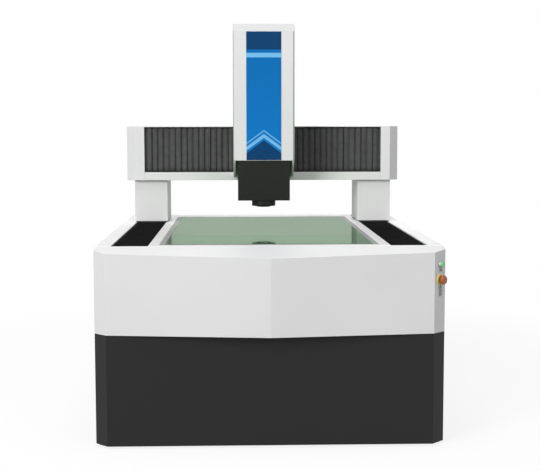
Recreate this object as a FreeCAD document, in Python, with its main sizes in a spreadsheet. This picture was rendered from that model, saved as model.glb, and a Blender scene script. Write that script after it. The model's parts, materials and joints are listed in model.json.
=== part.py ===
import FreeCAD, Part
import os
from types import SimpleNamespace

import Sketcher

# Vision measuring machine of the moving-bridge type, in millimetres.
# Origin on the floor, centred under the base. X runs to the right, Y to the back, Z up.
# The bridge stands at the back of its travel, and the optics stand at mid height.

V = FreeCAD.Vector
doc = FreeCAD.newDocument("vision_measuring_machine")

SIZES = {
    # Base body
    "base_width": 1450,
    "base_length": 1800,
    "nose_reach": 130,
    "corner_cut": 52,
    "deck_height": 830,
    "seam_drop": 354,
    "floor_gap": 12,
    "sheet": 3,
    "fold": 20,
    "lip_depth": 60,
    "lip_drop": 33,
    "nose_floor": 24,
    "rear_wrap": 35,
    "skirt_wrap": 20,
    "panel_gap": 3,
    # Slots of the two way bellows in the deck
    "slot_inner_gap": 217,
    "slot_outer_gap": 62,
    "slot_flange": 30,
    "bellows_side_gap": 4,
    "way_fold_front": 9,
    "way_skin_front": 2,
    "way_fold_rear": 29,
    "way_skin_rear": 5,
    "way_bellows_drop": 3,
    "way_folds": 20,
    "soft_gap": 0.3,
    # Glass stage
    "glass_side_gap": 285,
    "glass_rear": 170,
    "glass_thickness": 12,
    "glass_proud": 1,
    "glass_fit": 0.5,
    "glass_ledge": 12,
    "glass_front": 70,
    "frame_band": 24,
    "frame_flange": 22,
    "frame_seat": 18,
    "trim_rear": 25,
    # Granite bed
    "bed_side_gap": 20,
    "bed_drop": 330,
    "ledge_drop": 130,
    "core_side_gap": 227,
    "bed_front_gap": 15,
    "bed_rear_gap": 40,
    "pit_side_gap": 261,
    "pit_depth": 118,
    "pit_end_gap": 5,
    # Backlight in the pit
    "tray_gap": 4,
    "tray_height": 22,
    "tray_rim": 10,
    "tray_recess": 5,
    "diffuser_thickness": 7,
    # Welded frame and feet
    "tube": 80,
    "tube_wall": 5,
    "leg_bottom": 110,
    "foot_plate": 12,
    "low_rail": 140,
    "stud_radius": 12,
    "stud_top": 150,
    "stud_fit": 0.2,
    "pad_radius": 38,
    "pad_height": 20,
    "nut_radius": 22,
    "nut_height": 18,
    # Control cabinet and power inlet
    "cabinet_width": 600,
    "cabinet_length": 780,
    "cabinet_height": 170,
    "inlet_side_gap": 205,
    "inlet_z": 300,
    "inlet_width": 48,
    "inlet_height": 28,
    "inlet_depth": 30,
    "inlet_flange": 5,
    "louvre_width": 260,
    "louvre_pitch": 26,
    "louvre_rows": 6,
    "louvre_slot": 7,
    "louvre_stand": 6,
    "louvre_x": 260,
    "louvre_z": 250,
    # Linear guides
    "rail_width": 23,
    "rail_height": 22,
    "rail_waist": 2.5,
    "rail_gap": 0.5,
    "block_lift": 5,
    "block_width": 70,
    "block_length": 84,
    "y_rail_side_gap": 140,
    "y_rail_end_gap": 20,
    "small_rail_width": 20,
    "small_rail_height": 18,
    "small_block_width": 44,
    "small_block_length": 50,
    # Ball screws
    "y_screw_radius": 12.5,
    "y_screw_side_gap": 49,
    "y_screw_lift": 42,
    "bearing_length": 40,
    "bearing_width": 56,
    "y_bearing_front_gap": 185,
    "y_bearing_rear_gap": 105,
    "x_screw_radius": 10,
    "z_screw_radius": 8,
    "screw_fit": 0.3,
    "nut_wall": 12,
    "y_motor_size": 80,
    "y_motor_length": 100,
    "small_motor_size": 60,
    "x_motor_length": 78,
    "z_motor_length": 126,
    "motor_boss": 3,
    # Bridge columns
    "column_side_gap": 224,
    "column_width": 171,
    "column_set_back": 485,
    "column_depth": 305,
    "column_clearance": 4,
    "post_inset": 19,
    "post_front_inset": 20,
    "post_web": 34,
    "foot_reach": 40,
    "foot_thickness": 40,
    "cap_thickness": 27,
    "cap_overlap": 10,
    # Beam
    "beam_side_gap": 12.5,
    "beam_rise": 220,
    "beam_height": 281,
    "beam_lead": 24,
    "beam_depth": 345,
    "beam_cut": 46,
    "window_side_gap": 94.5,
    "lower_lip": 42,
    "upper_lip": 4,
    "lip_return": 6,
    "core_beam_end_gap": 6,
    "core_beam_lead": 80,
    "core_beam_depth": 180,
    "core_beam_height": 210,
    "core_edge": 6,
    "x_rail_low": 45,
    "x_rail_rise": 125,
    "x_rail_end_gap": 13,
    "x_screw_low": 107,
    "x_screw_stand": 20,
    "x_bearing_length": 30,
    "x_bell_length": 50,
    # Bellows in the beam window
    "bellows_end_gap": 72.5,
    "bellows_stand": 3,
    "fold_depth": 25,
    "bellows_rim": 4,
    "beam_folds": 17,
    # Carriage on the beam
    "plate_half": 140,
    "plate_thickness": 25,
    "plate_stand": 40,
    "plate_low": 2,
    "plate_height": 218,
    "neck_half": 118,
    "neck_low": 13,
    "x_block_spread": 95,
    # Z housing
    "housing_half": 153,
    "housing_lead": 255,
    "housing_stand": 4,
    "housing_low": 21,
    "cover_low": 108,
    "housing_rise": 790,
    "bevel": 38,
    "edge_round": 2,
    "panel_half": 87.5,
    "panel_margin": 2.5,
    "panel_thickness": 2,
    # Z slide
    "back_plate_half": 130,
    "back_plate_low": 35,
    "back_plate_height": 515,
    "z_rail_x": 85,
    "z_rail_low": 40,
    "z_rail_length": 410,
    "z_screw_stand": 15,
    "z_bearing_height": 22,
    "z_bell_height": 60,
    "z_mount_height": 12,
    "z_nut_height": 40,
    "z_nut_low": 85,
    "slide_half": 125,
    "slide_thickness": 20,
    "slide_stand": 30,
    "slide_height": 225,
    "shelf_height": 10,
    "z_block_low": 15,
    "z_block_rise": 130,
    # Optics
    "optics_half": 131,
    "optics_lead": 5,
    "optics_depth": 140,
    "optics_height": 209,
    "optics_rise": 115,
    "optics_round": 6,
    "lens_set_back": 75,
    "ring_radius": 60,
    "ring_bore": 36,
    "ring_height": 29,
    "lens_radius": 34,
    "lens_reach": 3,
    "lens_neck_radius": 24,
    "mount_radius": 18,
    "lens_nose_length": 54,
    "lens_zoom_radius": 29,
    "lens_zoom_low": 15,
    "lens_zoom_height": 110,
    "lens_mount_height": 40,
    "lens_fit": 0.2,
    "clamp_rise": 60,
    "clamp_height": 36,
    "clamp_half": 42,
    "camera_size": 44,
    "camera_height": 62,
    # Controls on the right front corner face
    "button_drop": 70,
    "lamp_drop": 93,
    "estop_drop": 134,
    "rocker_drop": 180,
    "bezel_radius": 14.5,
    "bezel_stand": 10,
    "barrel_radius": 11,
    "barrel_depth": 32,
    "button_barrel": 12.5,
    "button_radius": 10.6,
    "button_stand": 9,
    "lamp_half": 7,
    "lamp_rim": 1.5,
    "lamp_stand": 5,
    "collar_radius": 22.5,
    "collar_stand": 5,
    "estop_head_radius": 19.5,
    "estop_head_height": 14,
    "estop_stand": 13,
    "estop_stem_radius": 6,
    "rocker_width": 22,
    "rocker_height": 44,
    "rocker_rim": 3,
    "rocker_stand": 2.5,
    "rocker_depth": 24,
    "rocker_gap": 0.6,
    "rocker_swell": 5,
    "rocker_tilt": 7,
}


class Size:
    """A length with its number and the sheet formula that it comes from."""

    def __init__(self, value, text):
        self.value = value
        self.text = text

    def joined(self, sign, other, value):
        return Size(value, f"({self.text} {sign} {size(other).text})")

    def __add__(self, other):
        return self.joined("+", other, self.value + size(other).value)

    def __sub__(self, other):
        return self.joined("-", other, self.value - size(other).value)

    def __mul__(self, other):
        return self.joined("*", other, self.value * size(other).value)

    def __truediv__(self, other):
        return self.joined("/", other, self.value / size(other).value)

    def __radd__(self, other):
        return size(other) + self

    def __rsub__(self, other):
        return size(other) - self

    def __neg__(self):
        return size(0) - self


def size(number):
    """A plain number as a Size; a Size stays as it is."""
    return number if isinstance(number, Size) else Size(float(number), repr(float(number)))


sheet = doc.addObject("Spreadsheet::Sheet", "sizes")
for row, (word, number) in enumerate(SIZES.items(), start=1):
    sheet.set(f"A{row}", word)
    sheet.set(f"B{row}", str(number))
    sheet.setAlias(f"B{row}", word)
doc.recompute()
s = SimpleNamespace(**{word: Size(float(number), f"sizes.{word}") for word, number in SIZES.items()})

parts = []
ROOT_TWO = 2 ** 0.5


def keep(piece, label):
    """Names a finished sub-part and lists it for writing."""
    piece.Label = label
    parts.append(piece)
    return piece


def bind(thing, prop, length):
    """Ties a property of an object to its formula."""
    thing.setExpression(prop, size(length).text)


def place(thing, x=0, y=0, z=0):
    """Ties the place of an object to its formulas."""
    for letter, length in zip("xyz", (x, y, z)):
        bind(thing, f"Placement.Base.{letter}", length)


def both(half):
    """The span from minus half to half."""
    return (-half, half)


def block(name, x, y, z):
    """A box between three spans."""
    solid = doc.addObject("Part::Box", name)
    for prop, span in zip(("Length", "Width", "Height"), (x, y, z)):
        bind(solid, prop, span[1] - span[0])
    place(solid, x[0], y[0], z[0])
    return solid


TURNS = {
    "X": FreeCAD.Rotation(V(0, 1, 0), 90),
    "Y": FreeCAD.Rotation(V(1, 0, 0), -90),
    "Z": FreeCAD.Rotation(),
}


def rod(name, along, radius, span, across):
    """A cylinder along X, Y or Z over a span; across gives its two other coordinates."""
    solid = doc.addObject("Part::Cylinder", name)
    solid.Placement.Rotation = TURNS[along]
    bind(solid, "Radius", radius)
    bind(solid, "Height", span[1] - span[0])
    spot = list(across)
    spot.insert("XYZ".index(along), span[0])
    place(solid, *spot)
    return solid


def fuse(name, *pieces):
    """One solid of several that touch or overlap."""
    whole = doc.addObject("Part::MultiFuse", name)
    whole.Shapes = list(pieces)
    return whole


def cut(name, base, *tools):
    """The base less the tools."""
    tool = tools[0] if len(tools) == 1 else fuse(f"{name}_tools", *tools)
    rest = doc.addObject("Part::Cut", name)
    rest.Base = base
    rest.Tool = tool
    return rest


def group(name, *pieces):
    """Separate solids that share one node."""
    whole = doc.addObject("Part::Compound", name)
    whole.Links = list(pieces)
    return whole


def mirrored(name, piece):
    """The same piece on the other side of the middle plane."""
    other = doc.addObject("Part::Mirroring", name)
    other.Source = piece
    other.Normal = V(1, 0, 0)
    return other


def rect(a, b):
    """The four corners of a rectangle between two spans."""
    return [(a[0], b[0]), (a[1], b[0]), (a[1], b[1]), (a[0], b[1])]


def bore(a, b, radius):
    """A round outline about a centre."""
    return ("circle", a, b, radius)


class Piece:
    """A body built up from sketches on its own origin planes."""

    def __init__(self, name):
        self.name = name
        self.body = doc.addObject("PartDesign::Body", name)
        self.planes = {f.Role[:2]: f for f in self.body.Origin.OriginFeatures if "Plane" in f.Role}
        self.steps = 0

    def feature(self, kind, profile=None):
        """A new feature on the body, with its sketch."""
        self.steps += 1
        made = self.body.newObject(f"PartDesign::{kind}", f"{self.name}_{kind.lower()}_{self.steps}")
        if profile:
            made.Profile = profile
        return made

    def sketch(self, plane, level, outlines):
        """A sketch at a level along the plane's axis; XZ sketches face the front."""
        drawn = self.body.newObject("Sketcher::SketchObject", f"{self.name}_sketch_{self.steps}")
        drawn.AttachmentSupport = (self.planes[plane], [""])
        drawn.MapMode = "FlatFace"
        bind(drawn, "AttachmentOffset.Base.z", -level if plane == "XZ" else level)
        for outline in outlines:
            if outline[0] == "circle":
                self.draw_circle(drawn, outline)
            else:
                self.draw_polygon(drawn, outline)
        return drawn

    @staticmethod
    def draw_polygon(drawn, outline):
        """Straight lines through corners that the formulas hold in place."""
        corners = [(size(a), size(b)) for a, b in outline]
        points = [V(a.value, b.value, 0) for a, b in corners]
        lines = [Part.LineSegment(p, q) for p, q in zip(points, points[1:] + points[:1])]
        ids = drawn.addGeometry(lines, False)
        rules = [Sketcher.Constraint("Coincident", i, 2, j, 1) for i, j in zip(ids, ids[1:] + ids[:1])]
        for i, (a, b) in zip(ids, corners):
            rules.append(Sketcher.Constraint("DistanceX", i, 1, a.value))
            rules.append(Sketcher.Constraint("DistanceY", i, 1, b.value))
        made = drawn.addConstraint(rules)[len(ids):]
        for rule, length in zip(made, (length for corner in corners for length in corner)):
            bind(drawn, f"Constraints[{rule}]", length)

    @staticmethod
    def draw_circle(drawn, outline):
        """A circle whose centre and radius the formulas hold."""
        a, b, radius = (size(length) for length in outline[1:])
        curve = drawn.addGeometry(Part.Circle(V(a.value, b.value, 0), V(0, 0, 1), radius.value), False)
        made = drawn.addConstraint([
            Sketcher.Constraint("DistanceX", curve, 3, a.value),
            Sketcher.Constraint("DistanceY", curve, 3, b.value),
            Sketcher.Constraint("Radius", curve, radius.value),
        ])
        for rule, length in zip(made, (a, b, radius)):
            bind(drawn, f"Constraints[{rule}]", length)

    def add(self, plane, span, *outlines):
        """Pads outlines over a span along the plane's axis."""
        level = span[1] if plane == "XZ" else span[0]
        made = self.feature("Pad", self.sketch(plane, level, outlines))
        bind(made, "Length", span[1] - span[0])
        return self

    def take(self, plane, span, *outlines):
        """Pockets outlines over a span along the plane's axis."""
        level = span[0] if plane == "XZ" else span[1]
        made = self.feature("Pocket", self.sketch(plane, level, outlines))
        bind(made, "Length", span[1] - span[0])
        return self

    def spin(self, *points):
        """Turns a half section, radius and height, about the Z axis."""
        profile = self.sketch("XZ", size(0), [points])
        made = self.feature("Revolution", profile)
        made.ReferenceAxis = (profile, ["V_Axis"])
        made.Angle = 360
        return self

    def edges(self, wanted):
        """The names of the edges that a test picks, on the newest feature."""
        doc.recompute()
        tip = self.body.Tip
        names = [f"Edge{i}" for i, edge in enumerate(tip.Shape.Edges, start=1) if wanted(edge)]
        return (tip, names)

    def rounded(self, radius, wanted):
        """Rounds the picked edges."""
        base = self.edges(wanted)
        made = self.feature("Fillet")
        made.Base = base
        bind(made, "Radius", radius)
        return self

    def bevelled(self, width, wanted):
        """Chamfers the picked edges."""
        base = self.edges(wanted)
        made = self.feature("Chamfer")
        made.Base = base
        bind(made, "Size", width)
        return self

    def done(self, x=0, y=0, z=0):
        """The body at its place."""
        place(self.body, x, y, z)
        return self.body


def upright(edge):
    """True for a straight edge along Z."""
    line = edge.Curve.TypeId == "Part::GeomLine"
    return line and abs(edge.tangentAt(edge.FirstParameter).z) > 0.999


def lengthwise(edge):
    """True for a straight edge along X."""
    line = edge.Curve.TypeId == "Part::GeomLine"
    return line and abs(edge.tangentAt(edge.FirstParameter).x) > 0.999


# Places that the pieces share, worked out from the base's width and length and the height of its deck
half = s.base_width / 2
y_nose = -(s.base_length + s.nose_reach) / 2
y_corner = y_nose + s.nose_reach
y_face = y_corner - s.corner_cut
y_deck = y_corner + s.lip_depth
y_rear = y_corner + s.base_length
y_wrap = y_rear - s.rear_wrap
skin_half = half - s.sheet
corner_x = half - s.corner_cut
deck = s.deck_height
under_deck = deck - s.sheet
seam = deck - s.seam_drop
ledge = deck - s.ledge_drop
bed_bottom = deck - s.bed_drop
bed_half = half - s.bed_side_gap
core_half = half - s.core_side_gap
pit_half = half - s.pit_side_gap
slot_inner = half - s.slot_inner_gap
slot_outer = half - s.slot_outer_gap
y_glass = (y_deck + s.glass_front, y_rear - s.glass_rear)
glass_half = half - s.glass_side_gap
band_half = glass_half + s.frame_band
y_band = (y_glass[0] - s.frame_band, y_glass[1] + s.frame_band)
inlet_x = half - s.inlet_side_gap

y_rail_x = half - s.y_rail_side_gap
y_screw_x = half - s.y_screw_side_gap
y_screw_z = ledge + s.y_screw_lift
y_bearing_low = y_corner + s.y_bearing_front_gap
y_bearing_high = y_rear - s.y_bearing_rear_gap
column_inner = half - s.column_side_gap
column_front = y_rear - s.column_set_back
post_inner = column_inner + s.post_inset
post_outer = column_inner + s.column_width - s.post_inset - s.soft_gap * 10
post_front = column_front + s.post_front_inset
post_rear = column_front + s.column_depth - s.post_front_inset

beam_bottom = deck + s.beam_rise
beam_top = beam_bottom + s.beam_height
beam_front = column_front - s.beam_lead
beam_rear = beam_front + s.beam_depth
beam_half = half - s.beam_side_gap
window_half = beam_half - s.window_side_gap
core_beam_half = window_half - s.core_beam_end_gap
x_rail_half = window_half - s.x_rail_end_gap
bellows_end = beam_half - s.bellows_end_gap
cap_bottom = beam_bottom + s.sheet
core_bottom = cap_bottom + s.cap_thickness
core_front = column_front + s.core_beam_lead
core_rear = core_front + s.core_beam_depth
x_screw_y = core_front - s.x_screw_stand
x_screw_z = core_bottom + s.x_screw_low

housing_front = column_front - s.housing_lead
housing_rear = beam_front - s.housing_stand
housing_bottom = beam_bottom + s.housing_low
cover_bottom = beam_bottom + s.cover_low
machine_top = beam_bottom + s.housing_rise
plate_rear = core_front - s.plate_stand
plate_front = plate_rear - s.plate_thickness
back_rear = housing_rear - s.sheet
back_front = back_rear - s.plate_thickness
back_low = beam_bottom + s.back_plate_low
back_high = back_low + s.back_plate_height
z_rail_bottom = back_low + s.z_rail_low
z_rail_top = z_rail_bottom + s.z_rail_length
slide_rear = back_front - s.slide_stand
slide_front = slide_rear - s.slide_thickness
z_screw_y = back_front - s.z_screw_stand
optics_top = beam_bottom + s.optics_rise
optics_bottom = optics_top - s.optics_height
optics_front = housing_front + s.optics_lead
optics_rear = optics_front + s.optics_depth
slide_top = optics_top + s.slide_height
lens_y = housing_front + s.lens_set_back
lens_nose_top = optics_bottom + s.lens_nose_length
lens_zoom_bottom = optics_top + s.lens_zoom_low
lens_zoom_top = lens_zoom_bottom + s.lens_zoom_height
lens_top = lens_zoom_top + s.lens_mount_height
clamp_low = optics_top + s.clamp_rise


# Welded frame of square tube, on four feet, with a middle tie that carries the cabinet
def tube_along(name, along, x, y, z):
    """A square tube with open ends, between three spans."""
    wall = s.tube_wall
    spans = {"X": x, "Y": y, "Z": z}
    inner = [(span[0] + wall, span[1] - wall) if letter != along else span
             for letter, span in spans.items()]
    return cut(name, block(f"{name}_out", x, y, z), block(f"{name}_in", *inner))


leg_x = (skin_half - s.tube, skin_half)
leg_middle = skin_half - s.tube / 2
leg_spans = ((y_corner + s.sheet, y_corner + s.sheet + s.tube), (y_rear - s.sheet - s.tube, y_rear - s.sheet))
tie_span = ((y_corner + y_rear) / 2 - s.tube / 2, (y_corner + y_rear) / 2 + s.tube / 2)
rail_z = (bed_bottom - s.tube, bed_bottom)
low_z = (s.low_rail, s.low_rail + s.tube)
leg_z = (s.leg_bottom + s.foot_plate, rail_z[0])

tubes = []
foot_plates = []
for side, side_span in (("right", leg_x), ("left", (-leg_x[1], -leg_x[0]))):
    for n, leg_y in enumerate(leg_spans):
        tubes.append(tube_along(f"leg_{side}_{n}", "Z", side_span, leg_y, leg_z))
        plate = block(f"foot_plate_{side}_{n}", side_span, leg_y, (s.leg_bottom, leg_z[0]))
        middle_x = (side_span[0] + side_span[1]) / 2
        middle_y = (leg_y[0] + leg_y[1]) / 2
        hole = rod(f"foot_hole_{side}_{n}", "Z", s.stud_radius + s.stud_fit,
                   (s.leg_bottom, leg_z[0]), (middle_x, middle_y))
        foot_plates.append(cut(f"foot_plate_bored_{side}_{n}", plate, hole))
    long_span = (leg_spans[0][0], leg_spans[1][1])
    tubes.append(tube_along(f"top_rail_{side}", "Y", side_span, long_span, rail_z))
    bay = (leg_spans[0][1], leg_spans[1][0])
    tubes.append(tube_along(f"low_rail_{side}", "Y", side_span, bay, low_z))
for n, leg_y in enumerate((leg_spans[0], tie_span, leg_spans[1])):
    tubes.append(tube_along(f"top_cross_{n}", "X", both(leg_x[0]), leg_y, rail_z))
    tubes.append(tube_along(f"low_cross_{n}", "X", both(leg_x[0]), leg_y, low_z))
keep(group("frame_tubes", *tubes, *foot_plates), "frame_tubes")

feet = []
nuts = []
for side, sign in (("right", 1), ("left", -1)):
    for n, leg_y in enumerate(leg_spans):
        spot = (leg_middle * sign, (leg_y[0] + leg_y[1]) / 2)
        foot = Piece(f"foot_{side}_{n}").spin(
            (0, 0),
            (s.pad_radius, 0),
            (s.pad_radius, s.pad_height),
            (s.stud_radius, s.pad_height),
            (s.stud_radius, s.stud_top),
            (0, s.stud_top),
        )
        feet.append(foot.done(*spot))
        nut_z = (s.leg_bottom - s.nut_height, s.leg_bottom)
        hexagon = doc.addObject("Part::Prism", f"nut_{side}_{n}")
        hexagon.Polygon = 6
        bind(hexagon, "Circumradius", s.nut_radius)
        bind(hexagon, "Height", s.nut_height)
        place(hexagon, *spot, nut_z[0])
        nuts.append(cut(f"locknut_{side}_{n}", hexagon,
                        rod(f"nut_bore_{side}_{n}", "Z", s.stud_radius + s.stud_fit, nut_z, spot)))
keep(group("leveling_feet", *feet), "leveling_feet")
keep(group("foot_locknuts", *nuts), "foot_locknuts")

# Granite bed: a core that carries the glass, a pit for the light and two low ledges for the guides
y_bed = (y_deck + s.bed_front_gap, y_rear - s.bed_rear_gap)
core_top = deck - s.frame_seat
pit_floor = deck - s.pit_depth
y_pit = (y_glass[0] + s.pit_end_gap, y_glass[1] - s.pit_end_gap)
bed = Piece("granite_bed")
bed.add("XZ", y_bed, [
    (-bed_half, bed_bottom), (bed_half, bed_bottom),
    (bed_half, ledge), (core_half, ledge),
    (core_half, core_top), (-core_half, core_top),
    (-core_half, ledge), (-bed_half, ledge),
])
bed.take("XY", (pit_floor, core_top), rect(both(pit_half), y_pit))
keep(bed.done(), "granite_bed")

# Backlight: a tray with a recessed diffuser on the floor of the pit
tray_half = pit_half - s.tray_gap
y_tray = (y_pit[0] + s.tray_gap, y_pit[1] - s.tray_gap)
tray_top = pit_floor + s.tray_height
tray = Piece("backlight_tray")
tray.add("XY", (pit_floor, tray_top), rect(both(tray_half), y_tray))
y_diffuser = (y_tray[0] + s.tray_rim, y_tray[1] - s.tray_rim)
diffuser_half = tray_half - s.tray_rim
tray.take("XY", (tray_top - s.tray_recess, tray_top), rect(both(diffuser_half), y_diffuser))
keep(tray.done(), "backlight_tray")
diffuser_low = tray_top - s.tray_recess
keep(block("diffuser", both(diffuser_half - s.glass_fit),
           (y_diffuser[0] + s.glass_fit, y_diffuser[1] - s.glass_fit),
           (diffuser_low, diffuser_low + s.diffuser_thickness)), "backlight_diffuser")

# Glass stage in its rebated frame, and the sheet trim around it
glass_top = deck + s.glass_proud
glass_bottom = glass_top - s.glass_thickness
flange_half = band_half + s.frame_flange
ledge_half = glass_half - s.glass_ledge
frame = Piece("glass_frame")
frame.add("XY", (core_top, under_deck),
          rect(both(flange_half), (y_band[0] - s.frame_flange, y_band[1] + s.frame_flange)),
          rect(both(ledge_half), (y_glass[0] + s.glass_ledge, y_glass[1] - s.glass_ledge)))
frame.add("XY", (under_deck, deck), rect(both(band_half), y_band),
          rect(both(glass_half + s.glass_fit), (y_glass[0] - s.glass_fit, y_glass[1] + s.glass_fit)))
frame.take("XY", (glass_bottom, under_deck),
           rect(both(glass_half + s.glass_fit), (y_glass[0] - s.glass_fit, y_glass[1] + s.glass_fit)))
keep(frame.done(), "glass_frame")
pane = Piece("glass_plate")
pane.add("XY", (glass_bottom, glass_top), rect(both(glass_half), y_glass))
pane.bevelled(s.glass_proud, lambda edge: not upright(edge) and edge.CenterOfMass.z > glass_top.value - 0.1)
keep(pane.done(), "glass_plate")

y_trim = (y_deck + s.soft_gap, y_band[1] + s.trim_rear)
trim_hole = rect(both(band_half + s.glass_fit), (y_band[0] - s.glass_fit, y_band[1] + s.glass_fit))
trim = Piece("deck_trim")
trim.add("XY", (under_deck, deck), rect(both(slot_inner), y_trim), trim_hole)
for sign in (-1, 1):
    fold_span = sorted((slot_inner * sign, (slot_inner - s.sheet) * sign), key=lambda x: x.value)
    trim.add("XY", (deck - s.slot_flange, under_deck), rect(fold_span, y_trim))
keep(trim.done(), "deck_trim")


# Sheet covers of the base. The front is faceted in plan, with a lip that slopes down to the front
def inner_corner(y_front, slope):
    """Where a corner face and the front wall meet on their inner sides."""
    line = half - y_corner - s.sheet * ROOT_TWO
    x = (line + y_front + s.sheet) / (1 - slope)
    return (x, x - line)


def front_wall(y_back, y_front, slope, offset):
    """Plan outline of the front, outside or inside the sheet."""
    if offset:
        side = skin_half
        bend = y_corner + s.sheet * (ROOT_TWO - 1)
        corner = inner_corner(y_front, slope)
        tip = y_front + s.sheet
    else:
        side = half
        bend = y_corner
        corner = (corner_x, y_face)
        tip = y_front
    right = [(side, y_back), (side, bend), corner]
    left = [(-x, y) for x, y in reversed(right)]
    middle = [] if isinstance(slope, int) else [(0, tip)]
    return right + middle + left


facet = (y_face - y_nose) / corner_x
lip_front = y_nose - s.sheet
lip_fall = s.lip_drop / (y_deck - y_nose)
low_lip = deck - (y_deck - lip_front) * lip_fall
outer_plan = front_wall(y_deck, y_nose, facet, False)
inner_plan = front_wall(y_deck, y_nose, facet, True)
front = Piece("front_shell")
front.add("XY", (seam, deck), outer_plan)
front.take("XY", (seam + s.sheet, deck), inner_plan)
y_open = y_face + s.nose_floor
inner_line = half - y_corner - s.sheet * ROOT_TWO
open_right = [(skin_half, y_deck), (skin_half, y_corner + s.sheet * (ROOT_TWO - 1)), (inner_line + y_open, y_open)]
front.take("XY", (seam, seam + s.sheet), open_right + [(-x, y) for x, y in reversed(open_right)])
front.take("YZ", both(half), [(y_deck, deck), (lip_front, low_lip), (lip_front, deck)])
front.add("YZ", both(half), [
    (y_deck, deck), (lip_front, low_lip), (lip_front, low_lip - s.sheet), (y_deck, under_deck),
])
around = rect(both(half + s.fold), (y_nose - s.fold, y_deck + s.fold))
front.take("XY", (seam, deck), around, outer_plan)
front.add("XZ", (y_deck - s.sheet, y_deck), rect(both(skin_half), (deck - s.slot_flange, under_deck)))

# The controls sit in bores through the right corner face
face_x = half - s.corner_cut / 2
face_y = y_corner - s.corner_cut / 2
FACE_TURN = FreeCAD.Rotation(V(0, 0, 1), 45)


def on_face(piece, drop, stand=0):
    """Puts a piece that looks along -Y on the right corner face, below the deck and off the face."""
    piece.Placement.Rotation = FACE_TURN
    place(piece, face_x + size(stand) / ROOT_TWO, face_y - size(stand) / ROOT_TWO, deck - drop)
    return piece


lamp_body = s.lamp_half - s.lamp_rim
cutters = []
for word, drop, outline in (
    ("button", s.button_drop, bore(0, 0, s.button_barrel + s.stud_fit)),
    ("lamp", s.lamp_drop, rect(both(lamp_body + s.stud_fit), both(lamp_body + s.stud_fit))),
    ("estop", s.estop_drop, bore(0, 0, s.barrel_radius + s.stud_fit)),
    ("rocker", s.rocker_drop, rect(
        both(s.rocker_width / 2 - s.rocker_rim + s.stud_fit),
        both(s.rocker_height / 2 - s.rocker_rim + s.stud_fit))),
):
    tool = Piece(f"{word}_cutter").add("XZ", both(s.fold), outline)
    cutters.append(on_face(tool.body, drop))
keep(cut("upper_front", front.done(), *cutters), "upper_front_cover")

# Side covers: wall, outer deck strip and its flange along the slot, folded from one sheet
t = s.sheet
side_profile = [
    (half, seam), (half, deck), (slot_outer, deck), (slot_outer, deck - s.slot_flange),
    (slot_outer + t, deck - s.slot_flange), (slot_outer + t, under_deck), (skin_half, under_deck),
    (skin_half, seam),
]
side = Piece("side_cover").add("XZ", (y_deck + s.panel_gap / 3, y_wrap - s.panel_gap / 3), side_profile)
side_right = side.done()
keep(group("upper_sides", side_right, mirrored("side_cover_left", side_right)), "upper_side_covers")

# Rear cover: wall, wrapped corners and the rear deck with the ends of the two slots
rear_deck = y_trim[1] + s.panel_gap / 3
rear = Piece("rear_shell")
rear.add("XY", (seam, deck), rect(both(half), (rear_deck, y_rear)))
rear.take("XY", (seam, under_deck), rect(both(skin_half), (rear_deck, y_rear - t)))
rear.take("XY", (seam, under_deck), rect((skin_half, half), (rear_deck, y_wrap)),
          rect((-half, -skin_half), (rear_deck, y_wrap)))
rear.take("XY", (under_deck, deck), rect((slot_inner, half), (rear_deck, y_wrap)),
          rect((-half, -slot_inner), (rear_deck, y_wrap)))
rear.add("XZ", (y_wrap, y_wrap + t), rect(both(skin_half), (deck - s.slot_flange, under_deck)))
keep(rear.done(), "upper_rear_cover")

# Black skirts below the seam
skirt_z = (s.floor_gap, seam)
skirt_outer = front_wall(y_corner + s.skirt_wrap, y_face, 0, False)
skirt_inner = front_wall(y_corner + s.skirt_wrap, y_face, 0, True)
skirt = Piece("skirt_front")
skirt.add("XY", skirt_z, skirt_outer)
skirt.take("XY", skirt_z, skirt_inner)
fold_line = rect(both(corner_x - s.fold), (y_face + t, y_face + t + s.fold))
skirt.add("XY", (seam - t, seam), fold_line)
skirt.add("XY", (s.floor_gap, s.floor_gap + t), fold_line)
keep(skirt.done(), "skirt_front")

y_middle = (y_corner + y_rear) / 2
side_panels = []
for n, panel_y in enumerate((
    (y_corner + s.skirt_wrap + s.panel_gap, y_middle - s.panel_gap / 2),
    (y_middle + s.panel_gap / 2, y_wrap - s.panel_gap),
)):
    panel = Piece(f"side_skirt_{n}")
    panel.add("YZ", (skin_half, half), rect(panel_y, skirt_z))
    panel_right = panel.done()
    side_panels += [panel_right, mirrored(f"side_skirt_left_{n}", panel_right)]
keep(group("skirts", *side_panels), "side_skirts")

# Rear skirt with two fields of hooded louvres and the hole of the power inlet
back = Piece("skirt_rear")
back.add("XY", skirt_z, rect(both(half), (y_wrap, y_rear)))
back.take("XY", skirt_z, rect(both(skin_half), (y_wrap, y_rear - t)))
back.take("XZ", (y_rear - t, y_rear), rect(
    (inlet_x - s.inlet_width / 2, inlet_x + s.inlet_width / 2),
    (s.inlet_z - s.inlet_height / 2, s.inlet_z + s.inlet_height / 2)))
fields = [sorted(((s.louvre_x - s.louvre_width / 2) * k, (s.louvre_x + s.louvre_width / 2) * k),
                 key=lambda x: x.value) for k in (-1, 1)]
hood_top = s.louvre_z + s.louvre_slot + s.louvre_stand
hoods = []
for field in fields:
    back.add("YZ", field, [
        (y_rear, s.louvre_z), (y_rear + s.louvre_stand, s.louvre_z),
        (y_rear + s.louvre_stand, s.louvre_z + t / 2), (y_rear, hood_top),
    ])
    hoods.append(back.body.Tip)
    back.take("YZ", (field[0] + t, field[1] - t), [
        (y_rear - t, s.louvre_z), (y_rear + s.louvre_stand - t / 2, s.louvre_z),
        (y_rear, s.louvre_z + s.louvre_slot), (y_rear - t, s.louvre_z + s.louvre_slot),
    ])
    hoods.append(back.body.Tip)
rows = back.feature("LinearPattern")
rows.Originals = hoods
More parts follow.
